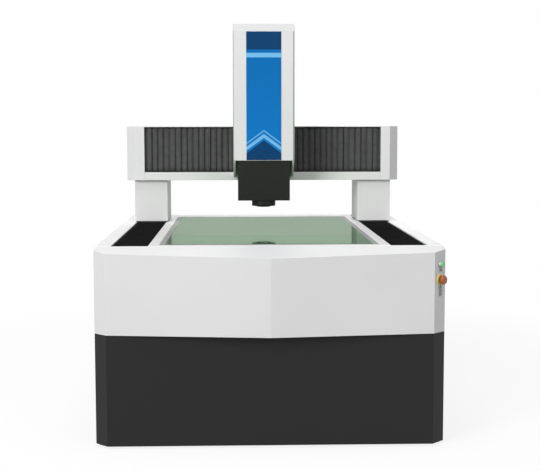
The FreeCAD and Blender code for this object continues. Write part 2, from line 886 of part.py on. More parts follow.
rows.Direction = (back.body.Origin.OriginFeatures[2], [""])
rows.Occurrences = int(s.louvre_rows.value)
bind(rows, "Length", s.louvre_pitch * (s.louvre_rows - 1))
back.body.Tip = rows
keep(back.done(), "skirt_rear")

inlet = Piece("power_inlet")
inlet.add("XZ", (y_rear - s.inlet_depth, y_rear), rect(
    (inlet_x - s.inlet_width / 2 + s.glass_fit, inlet_x + s.inlet_width / 2 - s.glass_fit),
    (s.inlet_z - s.inlet_height / 2 + s.glass_fit, s.inlet_z + s.inlet_height / 2 - s.glass_fit)))
inlet.add("XZ", (y_rear, y_rear + t), rect(
    (inlet_x - s.inlet_width / 2 - s.inlet_flange, inlet_x + s.inlet_width / 2 + s.inlet_flange),
    (s.inlet_z - s.inlet_height / 2 - s.inlet_flange, s.inlet_z + s.inlet_height / 2 + s.inlet_flange)))
inlet.take("XZ", (y_rear - s.inlet_depth / 2, y_rear + t), rect(
    (inlet_x - s.inlet_width / 2 + s.inlet_flange, inlet_x + s.inlet_width / 2 - s.inlet_flange),
    (s.inlet_z - s.inlet_height / 2 + s.inlet_flange, s.inlet_z + s.inlet_height / 2 - s.inlet_flange)))
keep(inlet.done(), "power_inlet")

# Control cabinet on the low cross tubes of the tie and the rear legs
y_cabinet = (leg_spans[1][1] - s.tube / 2 - s.cabinet_length, leg_spans[1][1] - s.tube / 2)
cabinet_z = (low_z[1], low_z[1] + s.cabinet_height)
cabinet = Piece("control_cabinet")
cabinet.add("XY", cabinet_z, rect(both(s.cabinet_width / 2), y_cabinet))
cabinet.add("XY", (cabinet_z[1] - t, cabinet_z[1]), rect(
    both(s.cabinet_width / 2 + t), (y_cabinet[0] - t, y_cabinet[1] + t)))
keep(cabinet.done(), "control_cabinet")


# Linear guides: rails with a waist, and blocks with a channel that runs along them
def rail_outline(width, height, across, seat, side):
    """Section of a rail; across is its middle, seat its foot, and side the way it stands."""
    wide, narrow = width / 2, width / 2 - s.rail_waist
    half_section = [(wide, 0), (wide, height * 0.35), (narrow, height * 0.5),
                    (narrow, height * 0.7), (wide, height * 0.85), (wide, height)]
    points = half_section + [(-x, y) for x, y in reversed(half_section)]
    return [(across + x, seat + size(y) * side) for x, y in points]


def swapped(points):
    """The same outline with its two coordinates exchanged."""
    return [(b, a) for a, b in points]


y_guide = (y_bed[0] + s.y_rail_end_gap, y_bed[1] - s.y_rail_end_gap)
rail = Piece("y_rail").add("XZ", y_guide, rail_outline(s.rail_width, s.rail_height, y_rail_x, ledge, 1))
rail_right = rail.done()
keep(group("y_rails", rail_right, mirrored("y_rail_left", rail_right)), "y_guide_rails")

foot_y = (post_front - s.foot_reach - s.post_front_inset, post_rear + s.foot_reach + s.post_front_inset)
foot_bottom = ledge + s.rail_height + s.rail_height + s.block_lift - 1
foot_top = foot_bottom + s.foot_thickness
channel = s.rail_width / 2 + s.rail_gap
y_blocks = []
for n, block_y in enumerate((
    (foot_y[0] + s.foot_reach / 4, foot_y[0] + s.foot_reach / 4 + s.block_length),
    (foot_y[1] - s.foot_reach / 4 - s.block_length, foot_y[1] - s.foot_reach / 4),
)):
    runner = Piece(f"y_block_{n}")
    runner.add("XZ", block_y, [
        (y_rail_x - s.block_width / 2, ledge + s.block_lift),
        (y_rail_x - channel, ledge + s.block_lift),
        (y_rail_x - channel, ledge + s.rail_height + s.rail_gap),
        (y_rail_x + channel, ledge + s.rail_height + s.rail_gap),
        (y_rail_x + channel, ledge + s.block_lift),
        (y_rail_x + s.block_width / 2, ledge + s.block_lift),
        (y_rail_x + s.block_width / 2, foot_bottom),
        (y_rail_x - s.block_width / 2, foot_bottom),
    ])
    block_right = runner.done()
    y_blocks += [block_right, mirrored(f"y_block_left_{n}", block_right)]
keep(group("y_blocks", *y_blocks), "y_guide_blocks")

# Y ball screw beside the right-hand guide
bearing_z = (ledge, y_screw_z + s.bearing_width / 2)
bearing_x = (y_screw_x - s.bearing_width / 2, y_screw_x + s.bearing_width / 2)
bearings = []
for n, bearing_y in enumerate((
    (y_bearing_low, y_bearing_low + s.bearing_length),
    (y_bearing_high, y_bearing_high + s.bearing_length),
)):
    support = Piece(f"y_bearing_{n}")
    support.add("XZ", bearing_y, rect(bearing_x, bearing_z),
                bore(y_screw_x, y_screw_z, s.y_screw_radius + s.screw_fit))
    bearings.append(support.done())
keep(group("y_bearings", *bearings), "y_screw_bearings")
keep(rod("spindle_y", "Y", s.y_screw_radius, (y_bearing_low + s.glass_fit, y_bearing_high + s.bearing_length),
         (y_screw_x, y_screw_z)), "y_screw")


def motor(name, width, length):
    """A square motor along Z: flange, ribbed body and end cap."""
    made = Piece(name)
    edge = width / 2
    made.add("XY", (0, length / 10), rect(both(edge), both(edge)))
    made.add("XY", (length / 10, length * 0.8), rect(both(edge - s.motor_boss), both(edge - s.motor_boss)))
    made.add("XY", (length * 0.8, length), rect(both(edge - s.motor_boss * 2), both(edge - s.motor_boss * 2)))
    made.bevelled(s.motor_boss, upright)
    return made


y_motor = motor("motor_y", s.y_motor_size, s.y_motor_length)
y_motor.body.Placement.Rotation = FreeCAD.Rotation(V(1, 0, 0), 90)
keep(y_motor.done(y_screw_x, y_bearing_low, y_screw_z), "y_motor")

# Bridge columns: foot on the guide blocks, post up through the slot, cap under the beam
outer_foot = bearing_x[1]


def column(name, with_nut):
    """The right-hand column; the one with the nut carries the housing of the Y ball nut."""
    made = Piece(name)
    made.add("XY", (foot_bottom, foot_top), rect((post_inner, post_outer), foot_y))
    made.add("XY", (foot_top, cap_bottom), rect((post_inner, post_outer), (post_front, post_rear)))
    made.add("XY", (cap_bottom, core_bottom), rect(
        (column_inner + s.cap_overlap / 2, column_inner + s.column_width - s.cap_overlap / 2),
        (column_front + s.cap_overlap, column_front + s.column_depth - s.cap_overlap)))
    middle_y = (post_front + post_rear) / 2
    for pocket_y in ((post_front + s.post_web, middle_y - s.post_web / 2),
                     (middle_y + s.post_web / 2, post_rear - s.post_web)):
        made.take("YZ", (post_inner + s.post_web, post_outer),
                  rect(pocket_y, (deck + s.post_web, cap_bottom - s.post_web)))
    if with_nut:
        nut_y = (middle_y - s.bearing_length, middle_y + s.bearing_length)
        made.add("XY", (foot_bottom, foot_top), rect((post_outer, outer_foot), nut_y))
        made.add("XY", (y_screw_z - s.bearing_width / 2, foot_bottom), rect(bearing_x, nut_y))
        made.take("XZ", nut_y, bore(y_screw_x, y_screw_z, s.y_screw_radius + s.screw_fit))
    return made.done()


keep(group("bridge_columns", column("column_right", True),
           mirrored("column_left", column("column_plain", False))), "columns")

column_x = (column_inner, column_inner + s.column_width)
column_y = (column_front, column_front + s.column_depth)
sleeve = Piece("column_cover")
sleeve.add("XY", (deck + s.column_clearance, beam_bottom), rect(column_x, column_y),
           rect((column_x[0] + t, column_x[1] - t), (column_y[0] + t, column_y[1] - t)))
sleeve_right = sleeve.done()
keep(group("column_sleeves", sleeve_right, mirrored("column_cover_left", sleeve_right)), "column_covers")

# Beam: granite core, two guide rails on its front, and its sheet covers
core = Piece("crossbeam")
core_top_z = core_bottom + s.core_beam_height
core.add("YZ", both(core_beam_half), rect((core_front, core_rear), (core_bottom, core_top_z)))
core.bevelled(s.core_edge, lengthwise)
keep(core.done(), "crossbeam")

x_rail_z = (core_bottom + s.x_rail_low, core_bottom + s.x_rail_low + s.x_rail_rise)
x_rails = [
    Piece(f"x_rail_{n}").add("YZ", both(x_rail_half), swapped(
        rail_outline(s.small_rail_width, s.small_rail_height, z, core_front, -1))).done()
    for n, z in enumerate(x_rail_z)
]
keep(group("x_rails", *x_rails), "x_guide_rails")

small_channel = s.small_rail_width / 2 + s.rail_gap


def small_runner(across, seat, depth):
    """Section of a small guide block: its channel opens towards the rail's seat at the back."""
    near, far = seat - s.block_lift, seat - depth
    floor = seat - s.small_rail_height - s.rail_gap
    return [
        (across - s.small_block_width / 2, near), (across - small_channel, near),
        (across - small_channel, floor), (across + small_channel, floor),
        (across + small_channel, near), (across + s.small_block_width / 2, near),
        (across + s.small_block_width / 2, far), (across - s.small_block_width / 2, far),
    ]


x_blocks = []
for n, z in enumerate(x_rail_z):
    for m, x in enumerate((-s.x_block_spread, s.x_block_spread)):
        runner = Piece(f"x_block_{n}_{m}")
        runner.add("YZ", (x - s.small_block_length / 2, x + s.small_block_length / 2),
                   swapped(small_runner(z, core_front, s.plate_stand)))
        x_blocks.append(runner.done())
keep(group("x_blocks", *x_blocks), "x_guide_blocks")

# X ball screw between the rails, in a bearing on the left and a bell housing on the right
motor_half = s.small_motor_size / 2
x_bearing = Piece("x_bearing").add(
    "YZ", (-x_rail_half, -x_rail_half + s.x_bearing_length),
    rect((x_screw_y - s.x_screw_radius - s.nut_wall, core_front),
         (x_screw_z - s.bearing_width / 2, x_screw_z + s.bearing_width / 2)),
    bore(x_screw_y, x_screw_z, s.x_screw_radius + s.screw_fit))
bell_x = (x_rail_half - s.x_bearing_length, x_rail_half - s.x_bearing_length + s.x_bell_length)
x_bell = Piece("x_bell").add(
    "YZ", bell_x,
    rect((x_screw_y - motor_half, core_front), (x_screw_z - motor_half, x_screw_z + motor_half)),
    bore(x_screw_y, x_screw_z, s.x_screw_radius + s.screw_fit))
keep(group("x_bearings", x_bearing.done(), x_bell.done()), "x_screw_bearings")
keep(rod("spindle_x", "X", s.x_screw_radius, (-x_rail_half, bell_x[1] - s.glass_fit),
         (x_screw_y, x_screw_z)), "x_screw")
x_motor = motor("motor_x", s.small_motor_size, s.x_motor_length)
x_motor.body.Placement.Rotation = TURNS["X"]
keep(x_motor.done(bell_x[1], x_screw_y, x_screw_z), "x_motor")

# Beam covers: top sheet, lower sheet with the front lip and the rear wall, and two end caps
window_z = (beam_bottom + s.lower_lip, beam_top - s.upper_lip)
top_cover = Piece("beam_top").add("YZ", both(window_half), [
    (beam_front, beam_top), (beam_rear, beam_top), (beam_rear, beam_top - t),
    (beam_front + t, beam_top - t), (beam_front + t, window_z[1]), (beam_front, window_z[1]),
])
keep(top_cover.done(), "beam_top_cover")
lower = Piece("beam_lower")
lower.add("YZ", both(window_half), [
    (beam_front, beam_bottom), (beam_rear, beam_bottom), (beam_rear, beam_top - t),
    (beam_rear - t, beam_top - t), (beam_rear - t, cap_bottom), (beam_front + t, cap_bottom),
    (beam_front + t, window_z[0] - t), (beam_front + t + s.lip_return, window_z[0] - t),
    (beam_front + t + s.lip_return, window_z[0]), (beam_front, window_z[0]),
])
post_hole_y = (post_front - s.column_clearance, post_rear + s.column_clearance)
hole_x = (post_inner - s.column_clearance, post_outer + s.column_clearance)
lower.take("XY", (beam_bottom, cap_bottom), rect((hole_x[0], window_half), post_hole_y),
           rect((-window_half, -hole_x[0]), post_hole_y))
keep(lower.done(), "beam_lower_cover")


def end_plan(inset):
    """Plan outline of an end cap with both corners cut, outside or inside the sheet."""
    edge = s.beam_cut - inset * (2 - ROOT_TWO) if inset.value else s.beam_cut
    x_end, y_low, y_high = beam_half - inset, beam_front + inset, beam_rear - inset
    return [
        (window_half, y_low), (x_end - edge, y_low), (x_end, y_low + edge),
        (x_end, y_high - edge), (x_end - edge, y_high), (window_half, y_high),
    ]


cap = Piece("beam_end")
cap.add("XY", (beam_bottom, beam_top), end_plan(size(0)))
cap.take("XY", (cap_bottom, beam_top - t), end_plan(t))
cap.take("XY", (beam_bottom, cap_bottom), rect((window_half, hole_x[1]), post_hole_y))
seat_y = (beam_front + t, beam_front + t + s.bellows_stand + s.fold_depth)
seat_z = (window_z[0], window_z[1])
cap.add("YZ", (bellows_end, bellows_end + t), rect(seat_y, seat_z))
cap_right = cap.done()
keep(group("beam_ends", cap_right, mirrored("beam_end_left", cap_right)), "beam_end_caps")

# Carriage: plate on the X guide blocks, with a neck forward through the window and the X ball nut
carriage = Piece("x_carriage")
plate_z = (core_bottom + s.plate_low, core_bottom + s.plate_low + s.plate_height)
neck_z = (window_z[0] + s.neck_low, plate_z[1])
carriage.add("XY", plate_z, rect(both(s.plate_half), (plate_front, plate_rear)))
carriage.add("XY", neck_z, rect(both(s.neck_half), (housing_rear - t, plate_front)))
nut_reach = s.x_screw_radius + s.nut_wall
nut_back = x_screw_y + s.x_screw_radius + s.nut_wall / 2
carriage.add("YZ", both(s.bearing_length / 2), rect(
    (plate_rear, nut_back), (x_screw_z - nut_reach, x_screw_z + nut_reach)))
carriage.take("YZ", both(s.bearing_length / 2), bore(x_screw_y, x_screw_z, s.x_screw_radius + s.screw_fit))
keep(carriage.done(), "x_carriage")

# Z column: back plate with the lower screw bearing, the upper bell and the motor seat
back_plate = Piece("z_backplate")
bell_top = back_high
bell_half = motor_half
back_z = (back_low, back_high)
back_plate.add("XY", back_z, rect(both(s.back_plate_half), (back_front, back_rear)))
bearing_back = (z_screw_y - s.z_screw_stand + s.motor_boss / 3, back_front)
for support_z, wide, deep in (
    ((back_low + s.z_screw_stand, back_low + s.z_screw_stand + s.z_bearing_height),
     s.z_bearing_height, bearing_back),
    ((bell_top - s.z_bell_height, bell_top), bell_half, (z_screw_y - bell_half, back_front)),
):
    back_plate.add("XY", support_z, rect(both(wide), deep))
mount_y = (z_screw_y - bell_half - s.z_screw_stand, back_rear)
back_plate.add("XY", (bell_top, bell_top + s.z_mount_height), rect(both(bell_half * 1.5), mount_y))
back_plate.take("XY", (back_low, bell_top + s.z_mount_height),
                bore(0, z_screw_y, s.z_screw_radius + s.screw_fit))
keep(back_plate.done(), "z_backplate")
keep(rod("spindle_z", "Z", s.z_screw_radius, (back_low + s.z_screw_stand,
         bell_top + s.z_mount_height - s.glass_fit), (0, z_screw_y)), "z_screw")
z_motor = motor("motor_z", s.small_motor_size, s.z_motor_length)
keep(z_motor.done(0, z_screw_y, bell_top + s.z_mount_height), "z_motor")

z_rails = [
    Piece(f"z_rail_{n}").add("XY", (z_rail_bottom, z_rail_top), rail_outline(
        s.small_rail_width, s.small_rail_height, s.z_rail_x * sign, back_front, -1)).done()
    for n, sign in enumerate((-1, 1))
]
keep(group("z_rails", *z_rails), "z_guide_rails")

slide_low = optics_top + s.shelf_height
z_blocks = []
for n, low in enumerate((slide_low + s.z_block_low, slide_low + s.z_block_low + s.z_block_rise)):
    for m, sign in enumerate((-1, 1)):
        runner = Piece(f"z_block_{n}_{m}")
        runner.add("XY", (low, low + s.small_block_length),
                   small_runner(s.z_rail_x * sign, back_front, s.slide_stand))
        z_blocks.append(runner.done())
keep(group("z_blocks", *z_blocks), "z_guide_blocks")

# Z slide: plate on the blocks, shelf that carries the optics box, lens clamp and Z ball nut
slide = Piece("z_slide")
slide.add("XY", (optics_top, slide_top), rect(both(s.slide_half), (slide_front, slide_rear)))
slide.add("XY", (optics_top, slide_low), rect(both(s.slide_half), (optics_front + t, slide_rear)))
clamp_z = (clamp_low, clamp_low + s.clamp_height)
slide.add("XY", clamp_z, rect(both(s.clamp_half), (lens_y - s.clamp_half, slide_front)))
slide.take("XY", (optics_top, slide_top), bore(0, lens_y, s.lens_zoom_radius + s.lens_fit))
z_nut = (slide_low + s.z_nut_low, slide_low + s.z_nut_low + s.z_nut_height)
slide.add("XY", z_nut, rect(both(s.z_screw_stand), (slide_rear, back_front - s.motor_boss / 2)))
slide.take("XY", z_nut, bore(0, z_screw_y, s.z_screw_radius + s.screw_fit))
keep(slide.done(), "z_slide")

# Optics box under the shelf, open at the top, with the bore of the lens in its floor
box_y = (optics_front, optics_rear)
optics = Piece("optics_box")
optics.add("XY", (optics_bottom, optics_top), rect(both(s.optics_half), box_y))
optics.take("XY", (optics_bottom + t, optics_top), rect(
    both(s.optics_half - s.optics_round), (box_y[0] + s.optics_round, box_y[1] - s.optics_round)))
optics.take("XY", (optics_bottom, optics_bottom + t), bore(0, lens_y, s.ring_bore))
keep(optics.done(), "optics_box")

ring_bottom = optics_bottom - s.ring_height
ring = Piece("ring_light").spin(
    (s.ring_bore, optics_bottom),
    (s.ring_radius, optics_bottom),
    (s.ring_radius, ring_bottom),
    (s.ring_bore, ring_bottom),
)
keep(ring.done(0, lens_y), "ring_light")

lens_bottom = ring_bottom - s.lens_reach
lens = Piece("zoom_lens").spin(
    (0, lens_bottom),
    (s.lens_radius, lens_bottom),
    (s.lens_radius, lens_nose_top),
    (s.lens_neck_radius, lens_nose_top),
    (s.lens_neck_radius, lens_zoom_bottom),
    (s.lens_zoom_radius, lens_zoom_bottom),
    (s.lens_zoom_radius, lens_zoom_top),
    (s.mount_radius, lens_zoom_top),
    (s.mount_radius, lens_top),
    (0, lens_top),
)
keep(lens.done(0, lens_y), "zoom_lens")
camera_half = s.camera_size / 2
camera = Piece("camera")
camera.add("XY", (lens_top, lens_top + s.camera_height), rect(
    both(camera_half), (lens_y - camera_half, lens_y + camera_half)))
camera.bevelled(t / 2, upright)
keep(camera.done(), "camera")

# Z housing: shell of sides, top and rear wall, then the front cover and its blue panel
housing = Piece("z_housing")
housing_y = (housing_front + t, housing_rear)
inside_half = s.housing_half - t
top = machine_top
flank_run = cover_bottom - housing_bottom
housing.add("XY", (housing_bottom, top), rect(both(s.housing_half), housing_y))
housing.take("XY", (housing_bottom, top - t), rect(both(inside_half), (housing_y[0], housing_rear - t)))
bevel_low = top - s.bevel
housing.take("YZ", both(s.housing_half), [
    (housing_y[0], bevel_low), (housing_y[0], top), (housing_front + s.bevel + t, top),
])
housing.take("YZ", both(s.housing_half), [
    (housing_y[0], housing_bottom), (housing_y[0] + flank_run, housing_bottom),
    (housing_y[0], cover_bottom),
])
housing.take("XZ", (housing_rear - t, housing_rear), rect(
    both(s.neck_half + s.glass_proud), (housing_bottom, neck_z[1] + s.glass_proud)))
keep(housing.done(), "z_housing")

cover = Piece("z_front_cover")
cover.add("YZ", both(s.housing_half), [
    (housing_front, cover_bottom), (housing_y[0], cover_bottom), (housing_y[0], bevel_low),
    (housing_front + s.bevel + t, top), (housing_front + s.bevel, top), (housing_front, bevel_low),
])
cover.rounded(s.edge_round, lambda edge: upright(edge) and (
    abs(edge.CenterOfMass.y - housing_front.value) < 0.1))
keep(cover.done(), "z_front_cover")
keep(block("panel", both(s.panel_half), (housing_front - s.panel_thickness, housing_front),
           (cover_bottom + s.panel_margin, bevel_low - s.panel_margin)), "front_panel")


# Bellows: pleated skins, drawn as one zigzag band
def pleats(start, end, folds, crest, root, skin):
    """Zigzag section from start to end: (along, up) points with a crest and a root line."""
    count = int(folds.value)
    step = (end.value - start.value) / (2 * count)
    upper = [(start.value + i * step, crest.value if i % 2 else root.value) for i in range(2 * count + 1)]
    lower = [(along, up - skin.value) for along, up in reversed(upper)]
    return upper + lower


def way_bellows(name, y, fold, skin):
    """A pleated band in the right-hand slot of the deck."""
    crest = deck - s.way_bellows_drop
    outline = pleats(y[0], y[1], s.way_folds, crest, crest - fold, skin)
    low_x = (slot_inner + s.bellows_side_gap).value
    points = [V(low_x, along, up) for along, up in outline]
    width = (slot_outer - slot_inner - s.bellows_side_gap * 2).value
    solid = doc.addObject("Part::Feature", name)
    solid.Shape = Part.Face(Part.makePolygon(points + points[:1])).extrude(V(width, 0, 0))
    return solid


for word, y, fold, skin in (
    ("front", (y_deck + s.soft_gap, post_front - s.soft_gap), s.way_fold_front, s.way_skin_front),
    ("rear", (post_rear + s.soft_gap, y_wrap - s.soft_gap), s.way_fold_rear, s.way_skin_rear),
):
    band = way_bellows(f"way_{word}", y, fold, skin)
    keep(group(f"{word}_bellows", band, mirrored(f"way_{word}_left", band)), f"{word}_way_bellows")


def beam_bellows(name, x):
    """A pleated band across the beam window, with its folds upright."""
    near = beam_front + t + s.bellows_stand
    outline = pleats(x[0], x[1], s.beam_folds, near, near + s.fold_depth - t, -t)
    low_z = (window_z[0] + s.bellows_rim).value
    height = (window_z[1] - window_z[0] - s.bellows_rim * 2).value
    points = [V(along, back, low_z) for along, back in outline]
    solid = doc.addObject("Part::Feature", name)
    solid.Shape = Part.Face(Part.makePolygon(points + points[:1])).extrude(V(0, 0, height))
    return solid


neck_side = s.neck_half + s.soft_gap
outer_end = bellows_end - s.soft_gap
keep(beam_bellows("window_left", (-outer_end, -neck_side)), "beam_bellows_left")
keep(beam_bellows("window_right", (neck_side, outer_end)), "beam_bellows_right")


# Controls on the right corner face, each drawn looking along -Y and then turned onto the face
def turned(name, *points):
    """A round piece whose half section is radius and distance out of the face."""
    made = Piece(name)
    profile = made.sketch("XY", size(0), [[(radius, -out) for radius, out in map(sized, points)]])
    feature = made.feature("Revolution", profile)
    feature.ReferenceAxis = (profile, ["V_Axis"])
    feature.Angle = 360
    return made.body


def sized(point):
    """Both coordinates of a point as sizes."""
    return size(point[0]), size(point[1])


button_bore = s.button_radius + s.soft_gap
bezel = turned(
    "start_bezel",
    (button_bore, -s.barrel_depth), (s.button_barrel, -s.barrel_depth), (s.button_barrel, 0),
    (s.bezel_radius, 0), (s.bezel_radius, s.bezel_stand), (button_bore, s.bezel_stand),
)
keep(on_face(bezel, s.button_drop), "start_button_bezel")
button = turned(
    "start_cap",
    (0, -s.barrel_depth / 2), (s.button_radius, -s.barrel_depth / 2),
    (s.button_radius, s.bezel_stand + s.button_stand), (0, s.bezel_stand + s.button_stand),
)
keep(on_face(button, s.button_drop), "start_button_cap")
lamp = Piece("lamp")
lamp.add("XZ", (-s.lamp_stand, size(0)), rect(both(s.lamp_half), both(s.lamp_half)))
lamp.add("XZ", (size(0), s.barrel_depth / 2), rect(both(lamp_body), both(lamp_body)))
keep(on_face(lamp.body, s.lamp_drop), "pilot_lamp")

stem_bore = s.estop_stem_radius + s.screw_fit
collar = turned(
    "estop_base",
    (stem_bore, -s.barrel_depth), (s.barrel_radius, -s.barrel_depth), (s.barrel_radius, 0),
    (s.collar_radius, 0), (s.collar_radius, s.collar_stand), (stem_bore, s.collar_stand),
)
keep(on_face(collar, s.estop_drop), "estop_collar")
head_low = s.estop_stand
stem = turned(
    "estop_pin",
    (0, -s.barrel_depth / 2), (s.estop_stem_radius, -s.barrel_depth / 2),
    (s.estop_stem_radius, head_low), (0, head_low),
)
keep(on_face(stem, s.estop_drop), "estop_stem")
head = turned(
    "estop_mushroom",
    (0, head_low), (s.estop_head_radius, head_low),
    (s.estop_head_radius, head_low + s.estop_head_height), (0, head_low + s.estop_head_height),
)
keep(on_face(head, s.estop_drop), "estop_head")

wide, tall = s.rocker_width / 2, s.rocker_height / 2
frame_in = (both(wide - s.rocker_rim * 1.5), both(tall - s.rocker_rim * 1.5))
bezel_frame = Piece("rocker_bezel")
bezel_frame.add("XZ", (-s.rocker_stand, size(0)), rect(both(wide), both(tall)))
bezel_frame.add("XZ", (size(0), s.rocker_depth), rect(both(wide - s.rocker_rim), both(tall - s.rocker_rim)))
bezel_frame.take("XZ", (-s.rocker_stand, s.rocker_depth - s.rocker_rim), rect(*frame_in))
keep(on_face(bezel_frame.body, s.rocker_drop), "rocker_frame")
key_half = wide - s.rocker_rim * 1.5 - s.rocker_gap
key_tall = tall - s.rocker_rim * 1.5 - s.rocker_gap - s.rocker_rim / 2
key = Piece("rocker_rest").add("YZ", both(key_half), [
    (-s.rocker_stand - s.rocker_swell / 2, key_tall), (-s.rocker_stand, 0),
    (-s.rocker_stand - s.rocker_swell / 2, -key_tall), (s.rocker_swell, -key_tall),
    (s.rocker_depth / 2, 0), (s.rocker_swell, key_tall),
])
keep(on_face(key.body, s.rocker_drop), "rocker_key")
tilt = FreeCAD.Rotation(V(1, 0, 0), s.rocker_tilt.value)
key.body.Placement.Rotation = FACE_TURN.multiply(tilt)

doc.recompute()
for thing in doc.Objects:
    if "Invalid" in thing.State or "Error" in thing.State:
        raise RuntimeError(f"{thing.Name} failed: {thing.State}")
os.makedirs("parts", exist_ok=True)
for piece in parts:
    if piece.Shape.isNull() or not piece.Shape.isValid() or not piece.Shape.Solids:
        raise RuntimeError(f"{piece.Label} has no sound shape")
    piece.Shape.exportStep(f"parts/{piece.Label}.step")
print(f"{len(parts)} sub-parts written")
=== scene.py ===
"""Looks of a floor-standing vision measuring machine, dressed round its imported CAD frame. All lengths are metres."""

import json
import logging
import math
import random
from dataclasses import dataclass, field
from enum import Enum
from typing import Iterable, Sequence

import bmesh
import bpy
from mathutils import Matrix, Vector

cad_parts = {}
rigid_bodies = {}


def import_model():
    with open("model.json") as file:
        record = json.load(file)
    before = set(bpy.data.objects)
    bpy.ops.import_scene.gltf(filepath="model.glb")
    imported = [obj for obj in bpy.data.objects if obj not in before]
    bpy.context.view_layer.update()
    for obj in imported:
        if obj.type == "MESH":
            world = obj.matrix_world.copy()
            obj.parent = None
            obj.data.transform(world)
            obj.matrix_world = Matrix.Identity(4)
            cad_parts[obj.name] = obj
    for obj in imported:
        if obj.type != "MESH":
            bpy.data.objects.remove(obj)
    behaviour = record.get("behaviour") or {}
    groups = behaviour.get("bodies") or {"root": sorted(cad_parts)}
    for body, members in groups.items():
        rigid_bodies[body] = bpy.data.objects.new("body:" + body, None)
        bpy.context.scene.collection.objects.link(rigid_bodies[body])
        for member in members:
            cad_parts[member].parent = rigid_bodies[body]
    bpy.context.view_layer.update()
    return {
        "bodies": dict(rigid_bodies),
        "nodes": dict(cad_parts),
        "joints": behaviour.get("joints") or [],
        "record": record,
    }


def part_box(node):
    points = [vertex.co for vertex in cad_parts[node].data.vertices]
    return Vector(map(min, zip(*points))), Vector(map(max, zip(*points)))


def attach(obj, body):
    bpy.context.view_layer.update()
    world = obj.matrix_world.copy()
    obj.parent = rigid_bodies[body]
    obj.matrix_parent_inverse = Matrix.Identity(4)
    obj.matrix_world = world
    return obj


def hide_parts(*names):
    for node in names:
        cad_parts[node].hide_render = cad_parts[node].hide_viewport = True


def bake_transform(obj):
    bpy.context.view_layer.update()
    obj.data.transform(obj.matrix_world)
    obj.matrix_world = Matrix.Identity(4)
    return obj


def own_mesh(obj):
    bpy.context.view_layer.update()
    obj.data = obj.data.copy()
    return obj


log = logging.getLogger("measuring_machine")

Point = tuple[float, float, float]
Colour = tuple[float, float, float]
Socket = bpy.types.NodeSocket

MM = 0.001
WHITE: Colour = (0.70, 0.705, 0.70)
PEEL = 420.0
PEEL_DEPTH = 0.05 * MM
SMOOTH = 35.0
EDGE_STEPS = 2


class Axis(Enum):
    """The three directions of the shared frame."""

    X = (1.0, 0.0, 0.0)
    Y = (0.0, 1.0, 0.0)
    Z = (0.0, 0.0, 1.0)

    @property
    def index(self) -> int:
        """The place of this direction in a vector."""
        return "XYZ".index(self.name)


# ---------------------------------------------------------------- shader maths


class Value:
    """A number socket whose arithmetic adds Math nodes."""

    def __init__(self, tree: "Tree", socket: Socket) -> None:
        """Wraps a socket of a tree."""
        self.tree = tree
        self.socket = socket

    def maths(self, operation: str, *others: "Value | float", first: "Value | float | None" = None) -> "Value":
        """Adds one Math node.

        Args:
            operation: the Math node's operation.
            others: its further operands.
            first: the first operand, where that isn't this value.

        Returns:
            The node's result.
        """
        operands = [self if first is None else first, *others]
        made = self.tree.add("ShaderNodeMath", {"operation": operation}, dict(enumerate(operands)))
        return Value(self.tree, made.outputs[0])

    def __add__(self, other: "Value | float") -> "Value":
        """The sum."""
        return self.maths("ADD", other)

    def __sub__(self, other: "Value | float") -> "Value":
        """The difference."""
        return self.maths("SUBTRACT", other)

    def __rsub__(self, other: float) -> "Value":
        """The difference from a plain number."""
        return self.maths("SUBTRACT", self, first=other)

    def __mul__(self, other: "Value | float") -> "Value":
        """The product."""
        return self.maths("MULTIPLY", other)

    def __truediv__(self, other: "Value | float") -> "Value":
        """The quotient."""
        return self.maths("DIVIDE", other)

    def __mod__(self, other: float) -> "Value":
        """The rest after whole steps, never negative."""
        return self.maths("FLOORED_MODULO", other)

    def __abs__(self) -> "Value":
        """The size without its sign."""
        return self.maths("ABSOLUTE")

    __radd__ = __add__
    __rmul__ = __mul__

    def above(self, edge: "Value | float") -> "Value":
        """One where this is over the edge, and zero elsewhere."""
        return self.maths("GREATER_THAN", edge)

    def below(self, edge: "Value | float") -> "Value":
        """One where this is under the edge, and zero elsewhere."""
        return self.maths("LESS_THAN", edge)

    def held(self) -> "Value":
        """This value kept between zero and one."""
        return self.maths("MINIMUM", 1.0).maths("MAXIMUM", 0.0)

    def ramp(self, low: float, high: float) -> "Value":
        """A smooth rise from zero at low to one at high."""
        made = self.tree.add(
            "ShaderNodeMapRange",
            {"interpolation_type": "SMOOTHSTEP"},
            {"Value": self, "From Min": low, "From Max": high},
        )
        return Value(self.tree, made.outputs[0])


